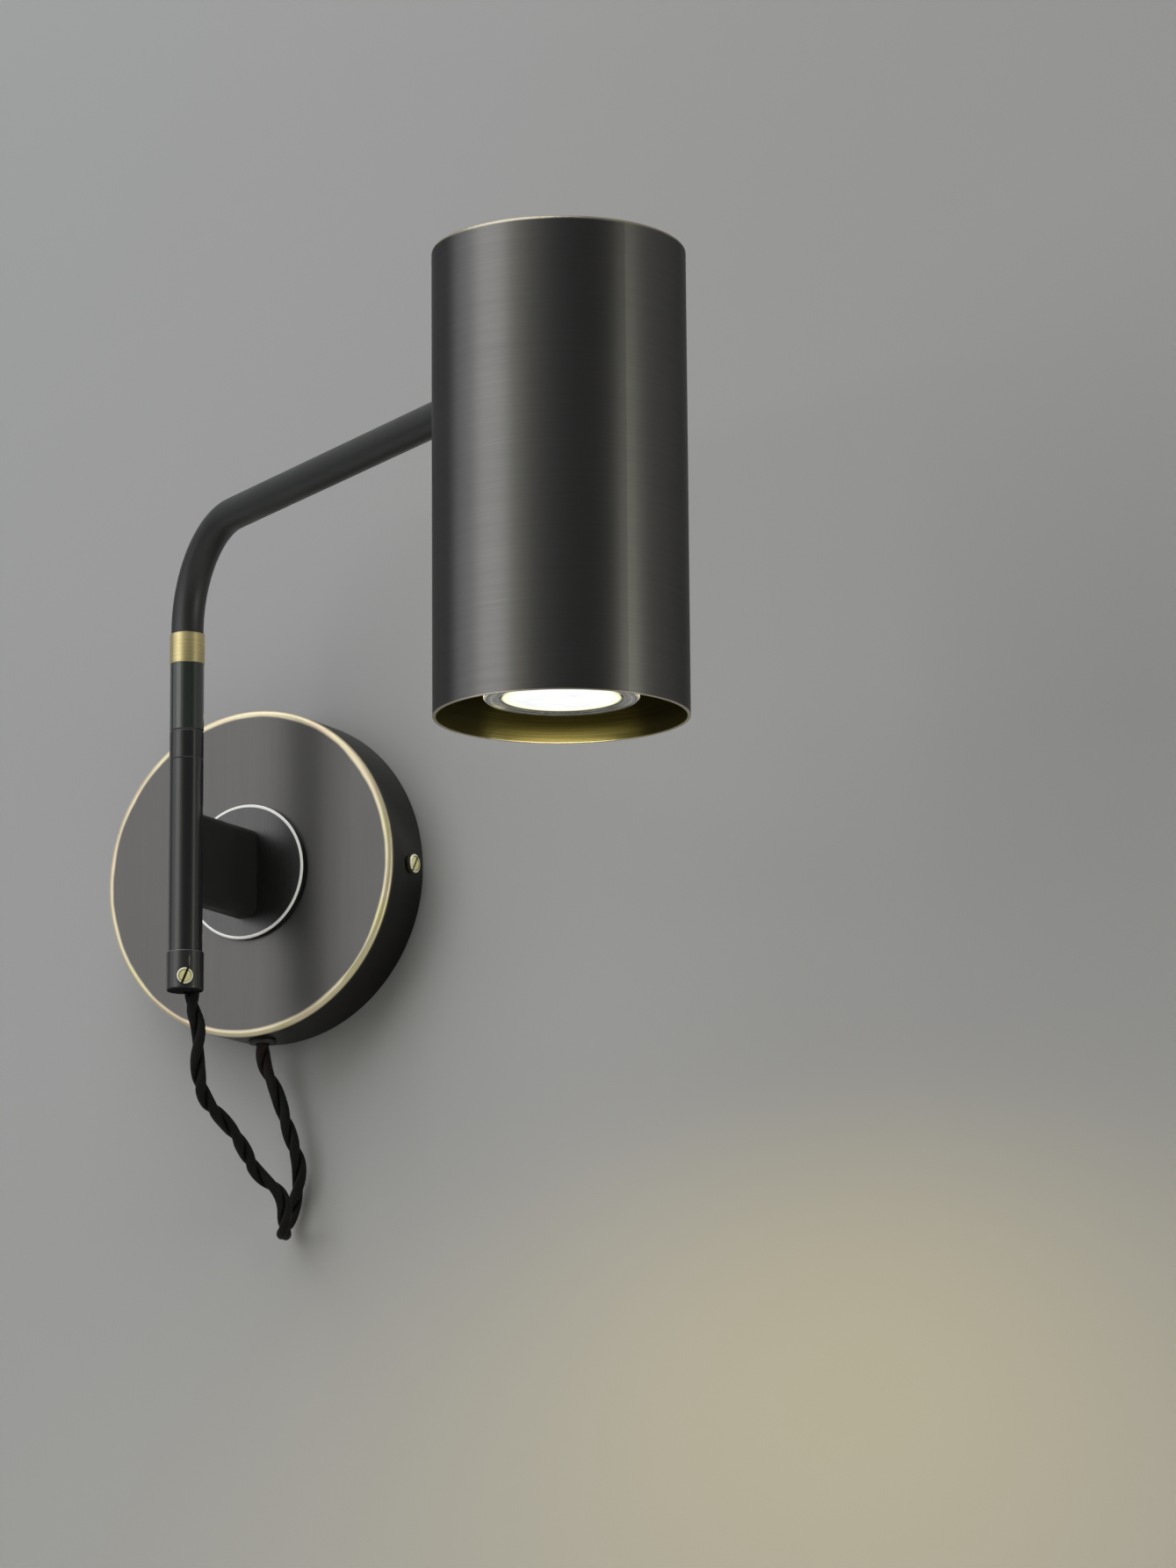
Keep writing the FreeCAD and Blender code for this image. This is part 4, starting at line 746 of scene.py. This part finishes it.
def slotted_screws(name, places, head, height, shank, length, replaced, material):
    """Screws with a rimmed, hollowed head and a cut slot; places are a seat, an axis and a turn."""
    profile = [
        (0.0, -length), (shank, -length), (shank, 0.0), (head, 0.0), (head, height - 0.0004),
        (head - 0.00012, height - 0.00012), (head - 0.0004, height), (0.80 * head, height),
        (0.72 * head, height - 0.00022), (0.30 * head, height - 0.00012), (0.0, height - 0.0001),
    ]
    slot_size = Matrix.Diagonal((2.4 * head, SLOT_WIDTH, 2 * SLOT_DEPTH, 1.0))
    solid, cutter = bmesh.new(), bmesh.new()
    for seat, axis, turn in places:
        matrix = facing(seat, axis)
        lathe(solid, profile, matrix)
        slot = matrix @ Matrix.Rotation(math.radians(turn), 4, "Z") @ Matrix.Translation((0.0, 0.0, height))
        bmesh.ops.create_cube(cutter, size=1.0, matrix=slot @ slot_size)
    tool = new_piece(f"{name}_cutter", cutter)
    rough = new_piece(f"{name}_solid", solid)
    cut = rough.modifiers.new("slot", "BOOLEAN")
    cut.operation = "DIFFERENCE"
    cut.object = tool
    data = bpy.data.meshes.new_from_object(rough.evaluated_get(bpy.context.evaluated_depsgraph_get()))
    for item in (tool, rough):
        bpy.data.objects.remove(item)
    data.name = name
    data.shade_smooth()
    data.set_sharp_from_angle(angle=SHARP_ANGLE)
    piece = bpy.data.objects.new(name, data)
    scene.collection.objects.link(piece)
    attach(piece, "root")
    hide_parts(replaced)
    dress(material, piece)


# Cord first
cord_material = braided("braided_sleeve")
cord, cord_line = twisted_flex("twisted_cord", CORD_ROUTE, "root", "cord_loop", phase=0.6)
dress(cord_material, cord)


# Flex inside the stem, the arm and the shade, and the leads inside the canopy
def on_arm(reach, height):
    """A point so far out along the arm from the swivel's axis, at a height."""
    return tuple(STEM_AXIS + ARM_DIRECTION * reach + Vector((0.0, 0.0, height)))


stem_flex, _ = twisted_flex("stem_flex_strands", [
    (*CAP_HOLE, -0.0495),
    (*CAP_HOLE, -0.0437),
    on_arm(0.0, -0.0356),
    on_arm(0.0, -0.0100),
    on_arm(0.0, 0.0177),
], "root", "stem_flex")
arm_flex, _ = twisted_flex("arm_flex_strands", [
    on_arm(0.0, 0.0193),
    on_arm(0.0, ARM_HEIGHT - BEND_RADIUS - BEND_REACH),
    on_arm(0.0, ARM_HEIGHT - BEND_RADIUS + BEND_REACH),
    on_arm(BEND_RADIUS - BEND_REACH, ARM_HEIGHT),
    on_arm(BEND_RADIUS + BEND_REACH, ARM_HEIGHT),
    on_arm(0.120, ARM_HEIGHT),
    on_arm(ARM_FLEX_END, ARM_HEIGHT),
], "arm", "arm_flex")
shade_flex, _ = twisted_flex("shade_flex_strands", [
    on_arm(SHADE_FLEX_START, ARM_HEIGHT),
    on_arm(0.2460, ARM_HEIGHT),
    on_arm(HOLDER_REACH, 0.1150),
    on_arm(HOLDER_REACH, 0.1010),
    on_arm(HOLDER_REACH, 0.0728),
], "shade", "shade_flex")
dress(cord_material, stem_flex, arm_flex, shade_flex, canopy_leads())

# Bronzed and brushed
bronze = (0.118, 0.116, 0.115)
bronze_light = (0.138, 0.136, 0.133)
# Its edge colour is worn brass round the top's edge and a painted highlight along the mouth's lip
dress(brushed(
    "brushed_bronze_shade", (14.0, 14.0, 1500.0), bronze, bronze_light, shade_edges,
    rough=0.365, stretch=0.4, edge=(0.60, 0.55, 0.43), grazing=0.45, round_axis=SHADE_AXIS,
    extra=inner_wall_painted_glow), "shade_shell")
dress(brushed(
    "brushed_bronze_canopy", (1100.0, 60.0, 14.0), times(bronze, 0.70), times(bronze_light, 0.63),
    canopy_edge, rough=0.36, stretch=0.4, axis="X", turn=0.0, relief=0.08, extra=dark_rim), "canopy_cover")
# The boss's near-white edge colour is a painted highlight
dress(brushed(
    "brushed_bronze_boss", (1100.0, 60.0, 14.0), (0.062, 0.062, 0.063), (0.068, 0.068, 0.067),
    boss_edge_highlight, rough=0.28, stretch=0.3, axis="X", turn=0.0, edge=(1.0, 1.0, 0.98), edge_metal=0.0,
    patches=0.0, relief=0.05, metal=0.82), "boss_disc")

# Satin paint
stem_black, stem_soft = (0.0095, 0.0098, 0.0105), (0.0135, 0.014, 0.0155)
dress(painted("satin_black_stem", stem_black, stem_soft, rough=0.30, coat=0.25), "lower_stem")
# The collar's seam lines and the cap's shoulder line are painted highlights
dress(painted(
    "satin_black_collar", stem_black, stem_soft, rough=0.30, coat=0.25,
    lit_edges_at=COLLAR_SEAMS), "swivel_collar")
dress(painted(
    "satin_black_sleeve", (0.014, 0.020, 0.016), (0.020, 0.028, 0.023),
    rough=0.27, coat=0.6), "upper_sleeve")
dress(painted(
    "satin_black_cap", (0.014, 0.0135, 0.0145), (0.020, 0.019, 0.021), rough=0.36, coat=0.2,
    lit_edges_at=(CAP_TOP,), foot=CAP_FOOT), "end_cap")
dress(painted(
    "satin_black_bar", (0.012, 0.0135, 0.011), (0.018, 0.020, 0.017), rough=0.42), "stem_bar")
dress(painted(
    "satin_charcoal_arm", (0.0125, 0.0128, 0.0134), (0.0175, 0.0178, 0.0185), rough=0.42),
    "arm_tube", "end_socket", "shade_collar")

# Brass
dress(plain_metal(
    "satin_brass_ring", (0.53, 0.44, 0.21), (0.64, 0.55, 0.30), rough=0.40,
    scale=(60.0, 60.0, 2200.0), metal=0.8), "brass_ferrule")
dress(plain_metal(
    "brass_screws", (0.68, 0.58, 0.28), (0.84, 0.76, 0.44), rough=0.28,
    scale=(900.0, 900.0, 900.0)), "tilt_stop_screw", "bracket_earth_screw")
slotted_screws(
    "cap_screw_brass", [(CAP_SCREW_SEAT, CAP_SCREW_AXIS, 68.0)],
    head=CAP_SCREW_HEAD, height=CAP_SCREW_RISE, shank=0.0015, length=0.0038,
    replaced="cord_grip_screw", material=screw_brass(
        "cap_screw_metal", CAP_SCREW_AXIS, CAP_SCREW_SEAT.dot(CAP_SCREW_AXIS) + CAP_SCREW_RISE,
        CAP_SCREW_SEAT, CAP_SCREW_HEAD))
slotted_screws(
    "side_screws_brass", [
        (Vector((CANOPY_RADIUS, -SIDE_SCREW_DEPTH, 0.0)), Vector((1.0, 0.0, 0.0)), 55.0),
        (Vector((-CANOPY_RADIUS, -SIDE_SCREW_DEPTH, 0.0)), Vector((-1.0, 0.0, 0.0)), 20.0)],
    head=SIDE_SCREW_HEAD, height=SIDE_SCREW_RISE, shank=0.002, length=0.007,
    replaced="canopy_side_screws", material=screw_brass(
        "side_screw_metal", (1.0, 0.0, 0.0), CANOPY_RADIUS + SIDE_SCREW_RISE,
        (0.0, -SIDE_SCREW_DEPTH, 0.0), SIDE_SCREW_HEAD))

# Steel, plastic, rubber and ceramic
dress(plain_metal(
    "zinc_plate", (0.50, 0.50, 0.49), (0.66, 0.66, 0.65), rough=0.32,
    scale=(120.0, 120.0, 1200.0)), "wall_bracket", "backing_plate", "lamp_bracket")
dress(plain_metal(
    "steel_screws", (0.48, 0.48, 0.48), (0.68, 0.68, 0.67), rough=0.25,
    scale=(900.0, 900.0, 900.0)),
    "bar_screws", "block_screw", "terminal_screws", "swivel_spindle", "spindle_washer",
    "spindle_nut", "arm_joiner", "tilt_spindle", "bracket_washer", "lock_nut",
    "lampholder_screws", "bulb_pins")
dress(plastic("bearing_plastic", (0.03, 0.03, 0.03), (0.05, 0.05, 0.05), 0.4),
      "swivel_washer", "tilt_washer")
dress(plastic("block_plastic", (0.72, 0.70, 0.62), (0.80, 0.78, 0.71), 0.4), "terminal_block")
dress(plastic("black_rubber", (0.012, 0.011, 0.010), (0.022, 0.019, 0.017), 0.6), "cord_grommet")
dress(plastic("glazed_ceramic", (0.76, 0.74, 0.68), (0.84, 0.82, 0.77), 0.2, grain=300.0,
              Coat_Weight=0.4), "lampholder")

# The lit lamp
dress(leaking_body(), "bulb_body")
dress(glass_ring(), "bulb_ring")
dress(glowing_lens(), "bulb_lens")


# Stage
def stage_plane(name, corners, material):
    data = bpy.data.meshes.new(name)
    data.from_pydata(corners, [], [(0, 1, 2, 3)])
    item = bpy.data.objects.new(name, data)
    item.data.materials.append(material)
    scene.collection.objects.link(item)


stage_plane("wall", [
    (STAGE_LEFT, WALL_PLACE, WALL_FOOT), (STAGE_RIGHT, WALL_PLACE, WALL_FOOT),
    (STAGE_RIGHT, WALL_PLACE, WALL_TOP), (STAGE_LEFT, WALL_PLACE, WALL_TOP)], wall_paint())
stage_plane("floor", [
    (STAGE_LEFT, FLOOR_FRONT, FLOOR_LEVEL), (STAGE_RIGHT, FLOOR_FRONT, FLOOR_LEVEL),
    (STAGE_RIGHT, 0.0, FLOOR_LEVEL), (STAGE_LEFT, 0.0, FLOOR_LEVEL)], floor_paint())


# Lights; an azimuth of 0 is straight in front of the wall, and 90 to the right
def new_light(name, kind, energy, colour=(1.0, 1.0, 1.0), **values):
    data = bpy.data.lights.new(name, kind)
    data.energy = energy
    data.color = colour
    for key, value in values.items():
        setattr(data, key, value)
    item = bpy.data.objects.new(name, data)
    scene.collection.objects.link(item)
    return item


def area_light(name, azimuth, elevation, distance, width, height, radiance, colour=(1.0, 1.0, 1.0)):
    """A soft box that faces the lamp."""
    turn, lift = math.radians(azimuth), math.radians(elevation)
    away = Vector((
        math.sin(turn) * math.cos(lift), -math.cos(turn) * math.cos(lift), math.sin(lift)))
    item = new_light(
        name, "AREA", radiance * math.pi * width * height, colour,
        shape="RECTANGLE", size=width, size_y=height)
    item.matrix_world = facing(LIGHTS_FACE + away * distance, away)
    item.visible_camera = False


def canopy_light(name, azimuth):
    """A narrow soft lamp behind the wall, which shows the canopy's inside from behind."""
    turn = math.radians(azimuth)
    away = Vector((math.sin(turn), -math.cos(turn), 0.3)).normalized()
    item = new_light(
        name, "SPOT", 9.0, spot_size=math.radians(5.5), spot_blend=0.4, shadow_soft_size=0.04)
    item.matrix_world = facing(away * 0.8, away)


def beam():
    """The lit lamp's own beam, which moves with the shade."""
    item = new_light(
        "beam", "SPOT", 2.85, (1.0, 0.79, 0.20),
        spot_size=math.radians(146.0), spot_blend=1.0, shadow_soft_size=0.018)
    item.location = (SHADE_AXIS[0], SHADE_AXIS[1], LENS_FACE - 0.0205)
    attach(item, "shade")


def lens_light():
    """The lens's own light, close to its face."""
    item = new_light("lens_light", "AREA", 0.029, (1.0, 0.88, 0.52), shape="DISK", size=0.036)
    item.location = (SHADE_AXIS[0], SHADE_AXIS[1], LENS_FACE - 0.0003)
    item.visible_camera = False
    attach(item, "shade")


# Name, azimuth, elevation, distance, width, height, radiance and colour
area_light("key", -33.4, 14.0, 1.8, 0.92, 1.6, 2.1, (1.0, 1.0, 0.99))
area_light("key_left", -62.0, 14.0, 1.8, 1.05, 1.5, 0.93, (0.98, 0.98, 1.0))
area_light("key_right", -11.0, 14.0, 1.8, 0.6, 1.5, 0.55, (1.0, 1.0, 0.74))
area_light("strip", 89.5, 2.0, 1.3, 0.18, 1.1, 1.7, (1.0, 1.0, 0.80))
area_light("strip_low", 88.5, -16.0, 1.3, 0.28, 0.8, 5.3, (1.0, 1.0, 0.90))
area_light("top_fill", -28.0, 62.0, 1.9, 2.3, 1.7, 2.65)
area_light("back_fill", 200.0, 30.0, 1.8, 1.6, 1.6, 0.6)
canopy_light("canopy_light_left", 228.0)
canopy_light("canopy_light_right", 132.0)
beam()
lens_light()


def studio_world():
    """Dim light all round; the background itself is a lighter grey, in view and in reflections."""
    world = Nodes(bpy.data.worlds.new("studio"))
    rays = world.add("ShaderNodeLightPath").outputs
    seen = rays["Is Camera Ray"]
    for kind in ("Is Glossy Ray", "Is Transmission Ray"):
        seen = world.math("MAXIMUM", seen, rays[kind])
    colour = world.blend(seen, (0.036, 0.036, 0.037), (0.085, 0.085, 0.086))
    world.join(colour, world.tree.nodes["Background"].inputs["Color"])
    scene.world = world.owner


studio_world()
scene.view_settings.view_transform = "Standard"


def make_camera():
    forward = Vector((
        -math.sin(CAMERA_AZIMUTH) * math.cos(CAMERA_PITCH),
        math.cos(CAMERA_AZIMUTH) * math.cos(CAMERA_PITCH),
        math.sin(CAMERA_PITCH)))
    level = Vector((math.cos(CAMERA_AZIMUTH), math.sin(CAMERA_AZIMUTH), 0.0))
    above = level.cross(forward)
    right = level * math.cos(CAMERA_ROLL) + above * math.sin(CAMERA_ROLL)
    up = above * math.cos(CAMERA_ROLL) - level * math.sin(CAMERA_ROLL)
    data = bpy.data.cameras.new("camera")
    data.sensor_width = SENSOR
    data.lens = FOCAL_PIXELS / PHOTO_HEIGHT * SENSOR
    data.clip_start = 0.05
    data.clip_end = 20.0
    camera = bpy.data.objects.new("camera", data)
    turn = Matrix((right, up, -forward)).transposed().to_4x4()
    camera.matrix_world = Matrix.Translation(CAMERA_PLACE) @ turn
    scene.collection.objects.link(camera)
    scene.camera = camera


make_camera()
